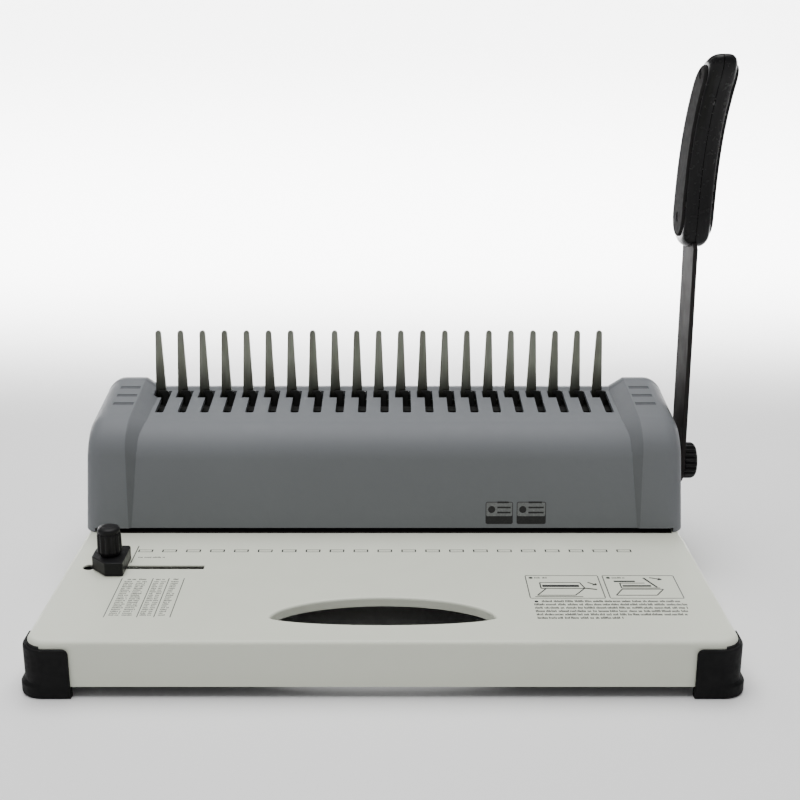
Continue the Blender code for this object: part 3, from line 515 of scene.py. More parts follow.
def hand_hole(grow, points=40):
    half = HAND_HOLE_HALF + grow

    def bulge(x, sagitta):
        return (sagitta + grow) * max(0.0, 1 - (x / half) ** 2) ** HAND_HOLE_POWER

    across = [half * math.cos(math.pi * i / points) for i in range(points + 1)]
    rear = [(x, HAND_HOLE_Y + bulge(x, HAND_HOLE_REAR)) for x in across]
    front = [(x, HAND_HOLE_Y - bulge(x, HAND_HOLE_FRONT)) for x in reversed(across[1:-1])]
    return rear + front


def keyhole():
    half = GUIDE_SLOT_HALF
    radius = GUIDE_SLOT_ENTRY
    left, right = GUIDE_SLOT_X
    y = GUIDE_SLOT_Y
    opening = math.asin(half / radius)
    turns = [opening + (math.tau - 2 * opening) * i / 24 for i in range(25)]
    entry = [(left + radius * math.cos(turn), y + radius * math.sin(turn)) for turn in turns]
    return entry + [(right, y - half), (right, y + half)]


def inside_tray(centre, normal):
    """Faces inside the tray that look down or sideways; by the hand hole, only down."""
    skin = 0.6 * SHEET
    under = (abs(centre.x) < BASE_HALF - skin and skin < centre.y < BASE_DEPTH - skin
             and centre.z < TABLE - skin)
    by_hand_hole = abs(centre.x) < 0.064 and 0.015 < centre.y < 0.056
    return under and (normal.z < -0.5 or (normal.z < 0.05 and not by_hand_hole))


def build_base():
    base = raw_object("base_tray", tray_shape(0.0, SKIRT_BOTTOM, TABLE, 0.0027, 8))
    combine(base, tray_shape(-SHEET, SKIRT_BOTTOM - 0.01, TABLE - SHEET, 0.0014, 3))
    combine(base, prism(hand_hole(SHEET), TABLE - 0.0054, TABLE - SHEET / 2), "UNION")
    rolled = 0.0016
    levels = [(0.0, TABLE - 0.02), (0.0, TABLE - rolled)]
    levels += [(rolled * (1 - math.cos(turn)), TABLE - rolled * (1 - math.sin(turn)))
               for turn in [math.pi / 2 * i / 6 for i in range(1, 7)]]
    levels.append((rolled, TABLE + 0.01))
    combine(base, loft([[(x, y, z) for x, y in hand_hole(grow)] for grow, z in levels]))
    low = TABLE - 0.004
    high = TABLE + 0.004
    windows = prism(keyhole(), low, high)
    box((-0.1658, AXIS.y - 0.0123, low), (0.1658, AXIS.y + 0.0123, high), windows)
    box((-0.1580, BASE_DEPTH - 0.01, 0.0080), (0.1580, BASE_DEPTH + 0.01, 0.0270), windows)
    for side in (-1, 1):
        prism(circle(side * 0.1590, 0.2140, 0.0019, 20), low, high, "Z", windows)
    combine(base, windows)
    dress(base, "root", POWDER, ["base_table"])
    # Painted shade: the faces inside the tray get the near-black coat.
    second_look(base, UNDERSIDE_SHADE, inside_tray)


FOOT_WRAP = 0.023
FOOT_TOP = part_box("front_left_foot")[1].z
FOOT_SIDE = 0.0027                  # how far a foot stands out from the skirt at the side
FOOT_FRONT = 0.0016
FOOT_LIP = 0.0022                   # more at the side, up to the lip's height
PAD_END = 0.003
FOOT_CORNER = 0.0125


def foot_solid():
    """A foot in its own corner frame: u and v run inwards from the two faces of the skirt."""
    bm = bmesh.new()
    rings = []
    levels = ((0.0008, 0.0), (0.0002, 0.0005), (0.0, 0.0013))
    lip = [(FOOT_SIDE + FOOT_LIP - cut, FOOT_FRONT - cut, z) for cut, z in levels]
    lip += [(FOOT_SIDE + FOOT_LIP, FOOT_FRONT, 0.0062),
            (FOOT_SIDE + FOOT_LIP - 0.0003, FOOT_FRONT, 0.0068),
            (FOOT_SIDE + 0.0001, FOOT_FRONT, 0.0082), (FOOT_SIDE, FOOT_FRONT, 0.0086)]
    lip += [(FOOT_SIDE - cut, FOOT_FRONT - cut, FOOT_TOP - drop)
            for cut, drop in ((0.0, 0.0013), (0.0002, 0.0005), (0.0009, 0.0))]
    for side_out, front_out, z in lip:
        ring = [(PAD_END, FOOT_WRAP), (-side_out, FOOT_WRAP)]
        ring += corner(FOOT_CORNER - side_out, FOOT_CORNER - front_out, FOOT_CORNER, 180, 14)
        ring += [(FOOT_WRAP, -front_out), (FOOT_WRAP, PAD_END)]
        rings.append([(u, v, z) for u, v in ring])
    return loft(rings, bm)


def foot_elevation():
    """The outline of a foot's wall seen square on: its free end has a rounded top corner."""
    low = -0.01
    return ([(low, -0.001), (FOOT_WRAP, -0.001)]
            + corner(FOOT_WRAP - 0.0032, FOOT_TOP - 0.0032, 0.0032, 0, 8) + [(low, FOOT_TOP)])


def build_feet():
    corners = (("front_left_foot", -1, True), ("front_right_foot", 1, True),
               ("rear_left_foot", -1, False), ("rear_right_foot", 1, False))
    for node, side, front in corners:
        solid = foot_solid()
        inward = 1.0 if front else -1.0
        edge_x = side * BASE_HALF
        edge_y = 0.0 if front else BASE_DEPTH
        for vertex in solid.verts:
            u, v, z = vertex.co
            vertex.co = (edge_x - side * u, edge_y + inward * v, z)
        foot = raw_object(node + "_moulding", solid)
        across = [(edge_x - side * u, z) for u, z in foot_elevation()]
        along = [(edge_y + inward * v, z) for v, z in foot_elevation()]
        combine(foot, prism(across, edge_y - 0.05, edge_y + 0.05, "Y"), "INTERSECT")
        combine(foot, prism(along, edge_x - 0.05, edge_x + 0.05, "X"), "INTERSECT")
        combine(foot, prism(base_outline(0.0003), 0.0062, 0.05))
        dress(foot, "root", RUBBER, [node], 40.0)


# ---- cover --------------------------------------------------------------------------------
def cover_profile(raised, inset=0.0):
    """The cover's section as (y, z, part): part runs from 0 at the front foot to 1 on top."""
    def blend(low, high):
        return low + (high - low) * raised

    front_foot = (blend(-0.0028, -COVER_TOE) + inset, 0.0003 - (0.01 if inset else 0.0))
    front_top = (blend(0.0043, 0.0012) + inset, blend(0.0630, 0.0664) - inset)
    step_front = (0.0716, blend(0.0702, 0.0770) - inset)
    step_rear = (0.0736, blend(0.0718, 0.0777) - inset)
    rear_top = (HOUSING_DEPTH - 0.0012 - inset, blend(0.0722, 0.0794) - inset)
    rear_foot = (HOUSING_DEPTH - inset, 0.0003 - (0.01 if inset else 0.0))
    front = [front_foot, (front_foot[0] + (front_top[0] - front_foot[0]) * 0.5, front_top[1] * 0.5)]
    bend = fillet(front_foot, front_top, step_front, FRONT_ROUND - inset, 12)
    middle = [(0.5 * (bend[-1][0] + step_front[0]), 0.5 * (bend[-1][1] + step_front[1]))]
    step = fillet(bend[-1], step_front, step_rear, 0.0012, 3)
    step += fillet(step_front, step_rear, rear_top, 0.0012, 3)
    back = fillet(step_rear, rear_top, rear_foot, REAR_ROUND - inset, 10)
    points = front + bend + middle + step + back + [rear_foot]
    top_start = len(front) + len(bend)
    rounding = min(CAP_BEND, points[2][1] / 0.064)
    parts = []
    for index in range(len(points)):
        if index < top_start:
            parts.append(min(1.0, max(0.0, points[index][1]) / 0.064) if index < 2 else
                         rounding + (1 - rounding) * (index - 2) / (len(bend) - 1))
        elif index < len(points) - len(back) - 1:
            parts.append(1.0)
        else:
            parts.append(max(0.0, 1.0 - (index - (len(points) - len(back) - 1)) / len(back) * 0.15)
                         if index < len(points) - 1 else 0.0)
    return [(HOUSING_Y + y, TABLE + z, part) for (y, z), part in zip(points, parts)]


def bevel_bounds(part):
    """Where the slope up to an end cap starts and stops, along X, at one place of the section."""
    foot, bend, top = CAP_SLOPE
    low, high = CAP_EDGE
    over_bend = max(0.0, (part - CAP_BEND) / (1 - CAP_BEND))
    inner = foot + (bend - foot) * min(1.0, part / CAP_BEND)
    inner += (top - bend) * over_bend
    outer = low + (high - low) * over_bend
    return inner, outer


def cover_ring(side, place, shrink=0.0, inset=0.0, width=0.0):
    """One ring. place in 0..1 is on the slope between middle and cap; above 1 it is the cap's end."""
    raised = min(max(place, 0.0), 1.0)
    profile = cover_profile(raised, inset)
    crown = max(z for _, z, _ in profile)
    middle = HOUSING_Y + HOUSING_DEPTH / 2
    pull = 1.0 - shrink / (HOUSING_DEPTH / 2)
    ring = []
    for y, z, part in profile:
        inner, outer = bevel_bounds(part)
        share = (z - TABLE) / (crown - TABLE)
        x = width - COVER_DRAFT * share if width else inner + (outer - inner) * place
        ring.append((side * x, middle + (y - middle) * pull, z - shrink * max(share, 0.0)))
    return ring


def cover_body():
    radius = 0.0112
    ends = []
    for turn in [math.pi / 2 * i / 8 for i in range(9)]:
        ends.append((COVER_HALF - radius * (1 - math.sin(turn)), radius * (1 - math.cos(turn))))
    ends = list(reversed(ends))
    slope = (1.10, 1.02, 0.96, 0.90, 0.5, 0.10, 0.04, -0.03)
    raises = (1.0, 0.995, 0.965, 0.90, 0.5, 0.10, 0.015, 0.0)

    def half(side):
        rings = [cover_ring(side, 1.0, shrink, 0.0, width) for width, shrink in ends]
        for place, raised in zip(slope, raises):
            level = cover_ring(side, raised)
            spread = cover_ring(side, place)
            rings.append([(far[0], near[1], near[2]) for near, far in zip(level, spread)])
        return rings

    return loft(half(1) + list(reversed(half(-1))))


def cover_hollow():
    reach = COVER_HALF - 0.0045

    def half(side):
        return [cover_ring(side, 1.0, 0.0, COVER_WALL, reach), cover_ring(side, 1.0, 0.0, COVER_WALL),
                cover_ring(side, 0.0, 0.0, COVER_WALL)]

    return loft(half(1) + list(reversed(half(-1))))


def cover_openings():
    bm = bmesh.new()
    rear = HOUSING_Y + 0.0710
    step = HOUSING_Y + 0.0595
    tip = HOUSING_Y + 0.0350
    for x in HOLES:
        outline = corner(x - 0.0026 + 0.0014, tip + 0.0014, 0.0014, 180, 4)
        outline += corner(x + 0.0027 - 0.0014, tip + 0.0014, 0.0014, 270, 4)
        outline += corner(x + 0.0027 - 0.0004, rear - 0.0004, 0.0004, 0, 3)
        outline += corner(x - 0.0075 + 0.0004, rear - 0.0004, 0.0004, 90, 3)
        outline += [(x - 0.0075, step), (x - 0.0026, step)]
        prism(outline, TABLE + 0.055, TABLE + 0.085, "Z", bm)
    box((-THROAT_HALF, HOUSING_Y - 0.01, TABLE - 0.005),
        (THROAT_HALF, HOUSING_Y + 0.01, TABLE + THROAT), bm)
    prism(circle(AXIS.y, AXIS.z, 0.0092, 40), COVER_HALF - 0.02, COVER_HALF + 0.02, "X", bm)
    return bm


def groove_places(ends):
    """For each cap groove: its ends along X, its middle along Y, and the cap's height there."""
    rise = (0.0777 - 0.0664) / 0.0724
    for side in (-1, 1):
        for y in GROOVE_PLACES:
            near, far = sorted((side * ends[0], side * ends[1]))
            yield near, far, HOUSING_Y + y, TABLE + 0.0664 + rise * (y - 0.0012)


def cap_grooves():
    """Three cross grooves on the top of each end cap, square to its slope."""
    bm = bmesh.new()
    half, depth = GROOVE_HALF, GROOVE_DEPTH
    for near, far, y, surface in groove_places(GROOVE_ENDS):
        outline = [(y - half - 0.0002, surface + 0.003), (y - half, surface - depth),
                   (y + half, surface - depth + 0.0002), (y + half + 0.0002, surface + 0.003)]
        prism(outline, near, far, "X", bm)
    return bm


def painted_groove_shade():
    """A thin dark floor in each groove, as painted shade."""
    bm = bmesh.new()
    half = GROOVE_HALF - 0.0001
    for near, far, y, surface in groove_places((GROOVE_ENDS[0] + 0.0001, GROOVE_ENDS[1] - 0.0001)):
        floor = surface - 0.0009
        outline = [(y - half, floor - 0.0002), (y + half, floor + 0.0002),
                   (y + half, floor + 0.0006), (y - half, floor + 0.0003)]
        prism(outline, near, far, "X", bm)
    return bm


def on_slope(centre, normal):
    """The sloped band between the middle of the cover and each end cap, which gets a darker copy of the grey
    as painted shade.
    """
    return 0.1460 < abs(centre.x) < 0.1592 and abs(normal.x) > 0.12 and abs(normal.x) < 0.9


def build_cover():
    cover = raw_object("cover_moulding", cover_body())
    combine(cover, cover_hollow())
    combine(cover, cover_openings())
    combine(cover, cap_grooves())
    dress(cover, "root", GREY, ["top_cover"], 22.0)
    # Painted shade: the slope bands get the darker copy of the grey.
    second_look(cover, GREY_PAINTED_SHADE, on_slope)
    # Painted shade: a dark floor in each cap groove.
    floors = raw_object("cap_groove_floors", painted_groove_shade())
    dress(floors, "root", GROOVE)


# ---- comb and hooks -----------------------------------------------------------------------
def build_fingers():
    """The comb plate, with tapered fingers that have round tips."""
    low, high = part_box("comb_plate")
    low, high = low - MACHINE, high - MACHINE
    top = TABLE + 0.0650
    root = 0.00325
    tip = 0.00190
    outline = [(low.x, low.z), (high.x, low.z), (high.x, 0.0905), (0.160, top)]
    for x in reversed(HOLES):
        centre = x - 0.0038
        rounded = [(centre + tip * math.cos(turn), high.z - tip * (1 - math.sin(turn)))
                   for turn in [math.pi * i / 10 for i in range(11)]]
        outline += [(centre + root, top), (centre + root, top + 0.009), *rounded,
                    (centre - root, top + 0.009), (centre - root, top)]
    outline += [(-0.160, top), (low.x, 0.0905)]
    comb = raw_object("comb_fingers", prism(outline, low.y, high.y, "Y"))
    soften(comb, 0.0003, 2, 50.0)
    dress(comb, "root", STEEL, ["comb_plate"])


def weld_and_soften(node, width, smooth=True):
    """A CAD node that keeps its shape: its split vertices are joined and its edges eased."""
    target = frame["nodes"][node]
    weld = target.modifiers.new("weld", "WELD")
    weld.merge_threshold = 0.00002
    step = target.modifiers.new("edges", "BEVEL")
    step.width = width
    step.segments = 2
    step.limit_method = "ANGLE"
    step.angle_limit = math.radians(50)
    if smooth:
        target.data.shade_smooth()
        normals = target.modifiers.new("normals", "WEIGHTED_NORMAL")
        normals.keep_sharp = False


def paint_node(node, look):
    target = frame["nodes"][node]
    target.data.materials.clear()
    target.data.materials.append(look)


def paint_cad_nodes():
    """Materials for the CAD nodes that stay: the hooks, the drawer and everything inside."""
    for node in ("left_side_frame", "right_side_frame", "guide_plate", "paper_stop", "left_stack_screw",
                 "right_stack_screw", "left_frame_screw", "right_frame_screw", "main_shaft", "punch_bar",
                 "left_return_spring", "right_return_spring", "rake_return_spring", "rake_crank",
                 "left_tray_rail", "right_tray_rail", "edge_guide_nut"):
        paint_node(node, ZINC)
    for node in ("die_plate", "left_cam", "right_cam", *[f"punch_pin_{i + 1:02d}" for i in range(21)]):
        paint_node(node, TOOL)
    for node in ("left_shaft_bush", "right_shaft_bush"):
        paint_node(node, BRASS)
    # Painted shade: the hooks are near black so that the slots read dark.
    paint_node("hook_rake", HOOK_SHADE_STEEL)
    paint_node("chip_tray", RUBBER)
    weld_and_soften("hook_rake", 0.00012, False)
    weld_and_soften("chip_tray", 0.0005)


# ---- lever --------------------------------------------------------------------------------
LEVER_LOW, LEVER_HIGH = (corner_point - MACHINE for corner_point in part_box("lever_bar"))
GRIP_LOW, GRIP_HIGH = (corner_point - MACHINE for corner_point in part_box("grip_inner_shell"))
GRIP_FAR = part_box("grip_outer_shell")[1].x - MACHINE.x
SPLIT = (LEVER_LOW.x + LEVER_HIGH.x) / 2
LEVER_LEAN = 0.005                  # how far the bar leans back at the grip
GRIP_BOTTOM = GRIP_LOW.z - AXIS.z
GRIP_TOP = GRIP_HIGH.z - AXIS.z


def grip_centre(height):
    share = (height - GRIP_BOTTOM) / (GRIP_TOP - GRIP_BOTTOM)
    return 0.0085 - 0.0052 * share - 0.0433 * max(share, 0.0) ** 3


def grip_outline(narrow, ends, rows=44):
    """The banana outline, (y, z) from the lever axis, drawn in by `narrow` and `ends`."""
    low = GRIP_BOTTOM + ends
    high = GRIP_TOP - ends

    def half_width(share):
        power = 13 if share < 0.5 else 7
        return (0.0178 - 0.0030 * share - narrow) * max(0.0, 1 - abs(2 * share - 1) ** power) ** 0.5

    def waist(share):
        """The front face lies lower below the head of the grip."""
        rise = min(1.0, max(0.0, (share - 0.04) / 0.03))
        fall = min(1.0, max(0.0, (0.885 - share) / 0.03))
        return 0.0009 * rise * rise * (3 - 2 * rise) * fall * fall * (3 - 2 * fall)

    shares = [0.5 - 0.5 * math.cos(math.pi * i / rows) for i in range(rows + 1)]
    heights = [low + (high - low) * share for share in shares]
    front = [(grip_centre(z) - half_width(s) + waist(s), z) for s, z in zip(shares, heights)]
    rear = [(grip_centre(z) + half_width(s), z) for s, z in zip(shares, heights)]
    return front + list(reversed(rear[1:-1]))


def grip_ring(x, narrow, ends):
    return [(x, AXIS.y + y, AXIS.z + z) for y, z in grip_outline(narrow, ends)]


def grip_half(face, split):
    """Half the grip's core: a rounded outer face and a chamfered seam at the split."""
    sign = 1.0 if split > face else -1.0
    radius = 0.0060
    rings = [grip_ring(face + sign * radius * (1 - math.cos(turn)), radius * (1 - math.sin(turn)) * 0.8,
                       radius * (1 - math.sin(turn)))
             for turn in [math.pi / 2 * i / 8 for i in range(9)]]
    rings.append(grip_ring(split - sign * 0.00015, 0.0, 0.0))
    rings.append(grip_ring(split, 0.00015, 0.00015))
    return loft(rings)


def strip_outline(narrow, ends, rows=36):
    """A side strip: a long band with round ends that follows the grip's bend."""
    low = GRIP_BOTTOM + 0.0065 + ends
    high = GRIP_TOP - 0.0062 - ends
    outline_front = []
    outline_rear = []
    for i in range(rows + 1):
        share = 0.5 - 0.5 * math.cos(math.pi * i / rows)
        z = low + (high - low) * share
        half = 0.0132 - 0.0026 * share - narrow
        from_end = min(z - low, high - z)
        if from_end < half:
            half = math.sqrt(max(0.0, half ** 2 - (half - from_end) ** 2))
        outline_front.append((grip_centre(z) - half, z))
        outline_rear.append((grip_centre(z) + half, z))
    return outline_front + list(reversed(outline_rear[1:-1]))


def grip_strip(face, back):
    sign = 1.0 if back > face else -1.0
    radius = 0.0008
    rings = []
    for turn in [math.pi / 2 * i / 4 for i in range(5)]:
        inset = radius * (1 - math.sin(turn))
        rings.append([(face + sign * radius * (1 - math.cos(turn)), AXIS.y + y, AXIS.z + z)
                      for y, z in strip_outline(inset, inset)])
    rings.append([(back, AXIS.y + y, AXIS.z + z) for y, z in strip_outline(0.0, 0.0)])
    return loft(rings)


SCREW_HEIGHTS = (0.1560, 0.2420)


def build_grip():
    inner_face = GRIP_LOW.x + 0.0014
    outer_face = GRIP_FAR - 0.0014
    for name, node, face, split in (("grip_core_inner", "grip_inner_shell", inner_face, SPLIT - 0.0001),
                                    ("grip_core_outer", "grip_outer_shell", outer_face, SPLIT + 0.0001)):
        core = raw_object(name, grip_half(face, split))
        combine(core, bar_shape(0.0002))
        dress(core, "lever", GRIP_GLOSS, [node], 40.0)
    for name, face, back in (("grip_strip_inner", GRIP_LOW.x, inner_face + 0.0002),
                             ("grip_strip_outer", GRIP_FAR, outer_face - 0.0002)):
        strip = raw_object(name, grip_strip(face, back))
        if face < SPLIT:
            for height in SCREW_HEIGHTS:
                y = AXIS.y + grip_centre(height)
                hole = circle(y, AXIS.z + height, 0.0030, 32)
                combine(strip, prism(hole, face - 0.002, back + 0.002, "X"))
        dress(strip, "lever", GRIP_MATT, (), 40.0)
    for height, node in zip(SCREW_HEIGHTS, ("grip_screw_lower", "grip_screw_upper")):
        screw = raw_object(node + "_head", screw_head(height, inner_face))
        y = AXIS.y + grip_centre(height)
        z = AXIS.z + height
        for arm_y, arm_z in ((0.0016, 0.0003), (0.0003, 0.0016)):
            combine(screw, box((inner_face - 0.002, y - arm_y, z - arm_z),
                               (inner_face - 0.0002, y + arm_y, z + arm_z)))
        dress(screw, "lever", PAINT, [node], 40.0)


def screw_head(height, face):
    y = AXIS.y + grip_centre(height)
    z = AXIS.z + height
    rings = []
    levels = ((0.0018, face - 0.0009), (0.0025, face - 0.0006), (0.0027, face - 0.0002), (0.0027, face))
    for radius, x in levels:
        rings.append([(x, u, v) for u, v in circle(y, z, radius, 24)])
    return loft(rings)


def bar_shape(grow=0.0):
    """The lever bar: a round foot, a straight run, and a tang inside the grip."""
    half = 0.0145 + grow
    tang = 0.0065 + grow
    shoulder = GRIP_BOTTOM + 0.001
    outline = [(-half * math.cos(turn), -half * math.sin(turn))
               for turn in [math.pi * i / 36 for i in range(37)]]
    levels = [shoulder + 0.009 + (0.232 + grow - shoulder - 0.009) * i / 8 for i in range(9)]
    outline += [(LEVER_LEAN + half, shoulder)]
    outline += [(grip_centre(z) + tang, z) for z in levels]
    outline += [(grip_centre(z) - tang, z) for z in reversed(levels)]
    outline += [(LEVER_LEAN - half, shoulder)]
    placed = [(AXIS.y + y, AXIS.z + z) for y, z in outline]
    return prism(placed, LEVER_LOW.x - grow, LEVER_HIGH.x + grow, "X")


def build_lever():
    bar = raw_object("lever_flat_bar", bar_shape())
    shaft_hole = circle(AXIS.y, AXIS.z, 0.0050, 32)
    combine(bar, prism(shaft_hole, LEVER_LOW.x - 0.01, LEVER_HIGH.x + 0.01, "X"))
    soften(bar, 0.0004, 3, 50.0)
    dress(bar, "lever", PAINT, ["lever_bar"])


def fluted_ring(centre_u, centre_v, radius, depth, flutes, per_flute=8):
    """A circle whose edge dips between round ribs."""
    points = []
    for i in range(flutes * per_flute):
        turn = math.tau * i / (flutes * per_flute)
        wave = 0.5 - 0.5 * math.cos(flutes * turn)
        reach = radius - depth * wave ** 1.6
        points.append((centre_u + reach * math.cos(turn), centre_v + reach * math.sin(turn)))
    return points


def build_lever_knob():
    low, high = (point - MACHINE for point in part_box("lever_knob"))
    radius = (high.z - low.z) / 2
    levels = [(0.0016, 0.0, low.x), (0.0003, 0.0010, low.x + 0.0008), (0.0, 0.0015, low.x + 0.0014),
              (0.0, 0.0015, high.x - 0.0024), (0.0005, 0.0013, high.x - 0.0012),
              (0.0017, 0.0005, high.x - 0.0002),
              (0.0026, 0.0, high.x), (0.0060, 0.0, high.x), (0.0066, 0.0, high.x - 0.0006)]
    rings = [[(x, u, v) for u, v in fluted_ring(AXIS.y, AXIS.z, radius - inset, depth, 20)]
             for inset, depth, x in levels]
    knob = raw_object("lever_clamp_knob", loft(rings))
    dress(knob, "clamp_knob", BLACK, ["lever_knob"], 50.0)


# ---- edge guide ---------------------------------------------------------------------------
def build_edge_guide():
    low, high = (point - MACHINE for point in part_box("edge_guide_block"))
    middle_y = (low.y + high.y) / 2
    knob_x = (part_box("edge_guide_knob")[0].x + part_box("edge_guide_knob")[1].x) / 2 - MACHINE.x
    outline = [(low.x + 0.0095, low.y), (high.x - 0.0008, low.y), (high.x, low.y + 0.0008),
               (high.x, high.y - 0.0012), (high.x - 0.0012, high.y)]
    outline += corner(low.x + 0.0065, high.y - 0.0065, 0.0065, 90, 8) + [(low.x, low.y + 0.0100)]
    block = raw_object("edge_guide_slider", prism(outline, low.z, high.z))
    combine(block, prism(circle(knob_x, middle_y, 0.0018, 24), low.z - 0.01, high.z + 0.01))
    soften(block, 0.0007, 3, 30.0)
    dress(block, "paper_guide", BLACK, ["edge_guide_block"])
    build_edge_guide_knob(knob_x, middle_y)


def build_edge_guide_knob(x, y):
    low, high = (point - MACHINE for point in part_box("edge_guide_knob"))
    start = TABLE + 0.0086
    levels = [(0.0016, 0.0, start), (0.0010, 0.0003, start + 0.0010), (0.0002, 0.0007, start + 0.0020),
              (0.0, 0.0010, start + 0.0028), (0.0002, 0.0010, high.z - 0.0052),
              (0.0004, 0.0006, high.z - 0.0042),
              (0.0012, 0.0, high.z - 0.0034), (0.0008, 0.0, high.z - 0.0030), (0.0008, 0.0, high.z - 0.0016),
              (0.0013, 0.0, high.z - 0.0007), (0.0024, 0.0, high.z - 0.0002), (0.0040, 0.0, high.z)]
    rings = [[(u, v, z) for u, v in fluted_ring(x, y, 0.0072 - inset, depth, 12)]
             for inset, depth, z in levels]
    knob = raw_object("edge_guide_clamp_knob", loft(rings))
    combine(knob, prism(circle(x, y, 0.0015, 24), low.z, start + 0.004), "UNION")
    dress(knob, "guide_knob", BLACK, ["edge_guide_knob"], 50.0)


# ---- printed marks ------------------------------------------------------------------------
def stroke(bm, start, end, width, level=TABLE):
    """A straight printed line on the table, from start to end."""
    along = (Vector(end) - Vector(start)).normalized()
    across = Vector((-along.y, along.x)) * (width / 2)
    outline = [Vector(start) + across, Vector(start) - across, Vector(end) - across, Vector(end) + across]
    return prism([tuple(point) for point in outline], level, level + INK, "Z", bm)


def frame_strokes(bm, low, high, width):
    (left, front), (right, rear) = low, high
    stroke(bm, (left, front), (right, front), width)
    stroke(bm, (left, rear), (right, rear), width)
    stroke(bm, (left, front + width), (left, rear - width), width)
    stroke(bm, (right, front + width), (right, rear - width), width)


def greeked_row(bm, left, right, y, height, draw):
    """A row of small bars that stands for a line of small print."""
    x = left
    while x < right - 0.0006:
        word = min(right, x + draw.uniform(0.0020, 0.0060))
        while x < word - 0.0003:
            tall = height * draw.choice((0.85, 0.85, 1.2))
            box((x, y, TABLE), (x + 0.00050, y + tall, TABLE + INK), bm)
            x += 0.00050 + draw.choice((0.00018, 0.00024))
        x = word + 0.0007


def printed(name, bm, look):
    made = raw_object(name, bm)
    made.data.materials.append(look)
    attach(made, "root")
    return made


def build_punch_marks():
    marks = bmesh.new()
    ends = bmesh.new()
    for x in HOLES:
        centre = x + 0.0005
        frame_strokes(marks, (centre - 0.0040, 0.1143), (centre + 0.0040, 0.1172), 0.00055)
        for side in (-1, 1):
            end = centre + side * 0.0040
            stroke(ends, (end, 0.1140), (end, 0.1175), 0.00080, TABLE + INK)
    stroke(ends, (-0.1478, 0.0985), (-0.1478, 0.1230), 0.00060)
    printed("punch_position_marks", marks, INK_GREY)
    printed("punch_position_ends", ends, INK_DARK)
    draw = random.Random(4)
    note = bmesh.new()
    greeked_row(note, -0.1450, -0.1290, 0.1055, 0.0014, draw)
    printed("edge_note", note, INK_GREY)


def build_throat_shade_strip():
    """A black strip on the table in the paper throat: painted shade under the cover's front edge and just in
    front of its foot.
    """
    strip = box((-THROAT_HALF + 0.001, HOUSING_Y - 0.0036, TABLE),
                (THROAT_HALF - 0.001, AXIS.y - 0.0130, TABLE + 3 * INK))
    dress(raw_object("throat_painted_shade", strip), "root", PAINT)


def build_size_chart():
    lines = bmesh.new()
    for x in (-0.1484, -0.1308, -0.1217, -0.1131):
        stroke(lines, (x, 0.0280), (x, 0.0770), 0.00050)
    printed("size_chart_lines", lines, INK_GREY)
    draw = random.Random(7)
    rows = bmesh.new()
    heads = bmesh.new()
    for left, right in ((-0.1462, -0.1402), (-0.1392, -0.1330), (-0.1296, -0.1262), (-0.1256, -0.1226),
                        (-0.1198, -0.1154)):
        for index in range(20):
            greeked_row(rows, left, right - draw.uniform(0.0, 0.0012), 0.0300 + index * 0.0022, 0.0011, draw)
    printed("size_chart_rows", rows, INK_GREY)
    for left, right in ((-0.1450, -0.1400), (-0.1385, -0.1345), (-0.1290, -0.1240), (-0.1190, -0.1160)):
        greeked_row(heads, left, right, 0.0748, 0.0013, draw)
    printed("size_chart_heads", heads, INK_DARK)


PUNCH_DRAWING = (
    # sheet
    ((0.0850, 0.0548), (0.1060, 0.0548), 0.0006), ((0.1060, 0.0548), (0.1118, 0.0630), 0.0006),
    ((0.0850, 0.0548), (0.0905, 0.0630), 0.0006),
    # housing, with its row of slots, and the table's far edge
    ((0.0880, 0.0635), (0.1125, 0.0635), 0.0007), ((0.0880, 0.0712), (0.1105, 0.0712), 0.0006),
    ((0.0880, 0.0635), (0.0880, 0.0712), 0.0006), ((0.1125, 0.0635), (0.1105, 0.0712), 0.0006),
    ((0.0890, 0.0668), (0.1096, 0.0668), 0.0022), ((0.0835, 0.0530), (0.1100, 0.0530), 0.0006),
    # lever and arrow
    ((0.1120, 0.0640), (0.1190, 0.0622), 0.0010), ((0.1150, 0.0715), (0.1195, 0.0680), 0.0008),
    ((0.1195, 0.0680), (0.1172, 0.0680), 0.0007), ((0.1195, 0.0680), (0.1192, 0.0702), 0.0007),
)
COMB_DRAWING = (
    # table
    ((0.1285, 0.0548), (0.1510, 0.0548), 0.0006), ((0.1510, 0.0548), (0.1560, 0.0625), 0.0006),
    ((0.1285, 0.0548), (0.1330, 0.0625), 0.0006), ((0.1330, 0.0625), (0.1560, 0.0625), 0.0006),
    # housing and comb
    ((0.1330, 0.0640), (0.1545, 0.0640), 0.0007), ((0.1330, 0.0640), (0.1330, 0.0705), 0.0006),
    ((0.1340, 0.0668), (0.1500, 0.0668), 0.0016), ((0.1330, 0.0705), (0.1470, 0.0705), 0.0006),
    ((0.1300, 0.0728), (0.1420, 0.0728), 0.0014),
    # lever and arrow
    ((0.1530, 0.0650), (0.1475, 0.0775), 0.0010), ((0.1510, 0.0778), (0.1575, 0.0752), 0.0008),
    ((0.1575, 0.0752), (0.1552, 0.0748), 0.0007), ((0.1575, 0.0752), (0.1560, 0.0770), 0.0007),
)


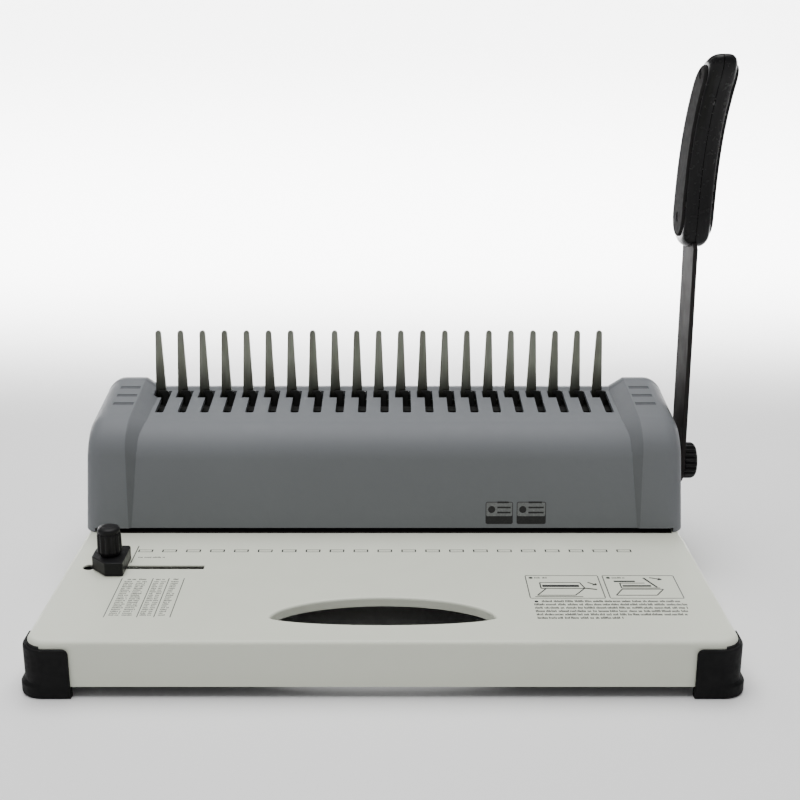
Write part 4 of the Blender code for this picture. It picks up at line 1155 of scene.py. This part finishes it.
def build_pictograms():
    """Two framed line drawings of the machine: at punching, and with a comb on its fingers."""
    frames = bmesh.new()
    frame_strokes(frames, (0.0807, 0.0510), (0.1219, 0.0806), 0.00060)
    frame_strokes(frames, (0.1246, 0.0510), (0.1650, 0.0806), 0.00060)
    printed("pictogram_frames", frames, INK_GREY)
    lines = bmesh.new()
    for start, end, width in PUNCH_DRAWING + COMB_DRAWING:
        stroke(lines, start, end, width * 1.25)
    printed("pictogram_lines", lines, INK_DARK)
    heads = bmesh.new()
    draw = random.Random(11)
    for left in (0.0836, 0.1276):
        prism(circle(left, 0.0775, 0.0012, 16), TABLE, TABLE + INK, "Z", heads)
        greeked_row(heads, left + 0.0020, left + 0.0094, 0.0768, 0.0014, draw)
    printed("pictogram_heads", heads, INK_DARK)


def build_instructions():
    draw = random.Random(23)
    rows = bmesh.new()
    for index in range(6):
        right = 0.1650 if index < 5 else 0.1300
        greeked_row(rows, 0.0865 if index == 0 else 0.0820, right - draw.uniform(0.0, 0.003),
                    0.0462 - index * 0.0040, 0.0020, draw)
    prism(circle(0.0836, 0.0470, 0.0011, 16), TABLE, TABLE + INK, "Z", rows)
    printed("instruction_rows", rows, INK_DARK)


def build_stickers():
    """Two small label plates low on the cover's front, with plain drawn marks."""
    dark = bmesh.new()
    pale = bmesh.new()
    marks = bmesh.new()
    foot = -0.0028
    lean = (0.0043 - foot) / 0.0627

    def on_face(points, lift, bm):
        near = [(x, HOUSING_Y + foot + z * lean - lift - INK, TABLE + z) for x, z in points]
        far = [(x, HOUSING_Y + foot + z * lean + INK, TABLE + z) for x, z in points]
        return loft([near, far], bm)

    low = 0.0056
    high = 0.0196
    for left, right in ((0.0626, 0.0794), (0.0818, 0.0998)):
        on_face(rounded_rectangle(left, low, right, high, 0.0012, 4), INK, dark)
        on_face(rounded_rectangle(left + 0.0004, low + 0.0050, right - 0.0004, high - 0.0004, 0.0008, 4),
                2 * INK, pale)
        for row in range(3):
            bar_low = low + 0.0068 + row * 0.0032
            bar_end = right - 0.0014 - 0.0012 * (row == 2)
            on_face([(left + 0.0072, bar_low), (bar_end, bar_low),
                     (bar_end, bar_low + 0.0010), (left + 0.0072, bar_low + 0.0010)], 3 * INK, marks)
        on_face(circle(left + 0.0037, low + 0.0092, 0.0022, 20), 3 * INK, marks)
    printed("label_plates", dark, INK_DARK)
    printed("label_fields", pale, LABEL)
    printed("label_marks", marks, INK_DARK)


camera()
studio()
build_base()
build_feet()
build_cover()
build_fingers()
paint_cad_nodes()
build_lever()
build_grip()
build_lever_knob()
build_edge_guide()
build_throat_shade_strip()
build_punch_marks()
build_size_chart()
build_pictograms()
build_instructions()
build_stickers()
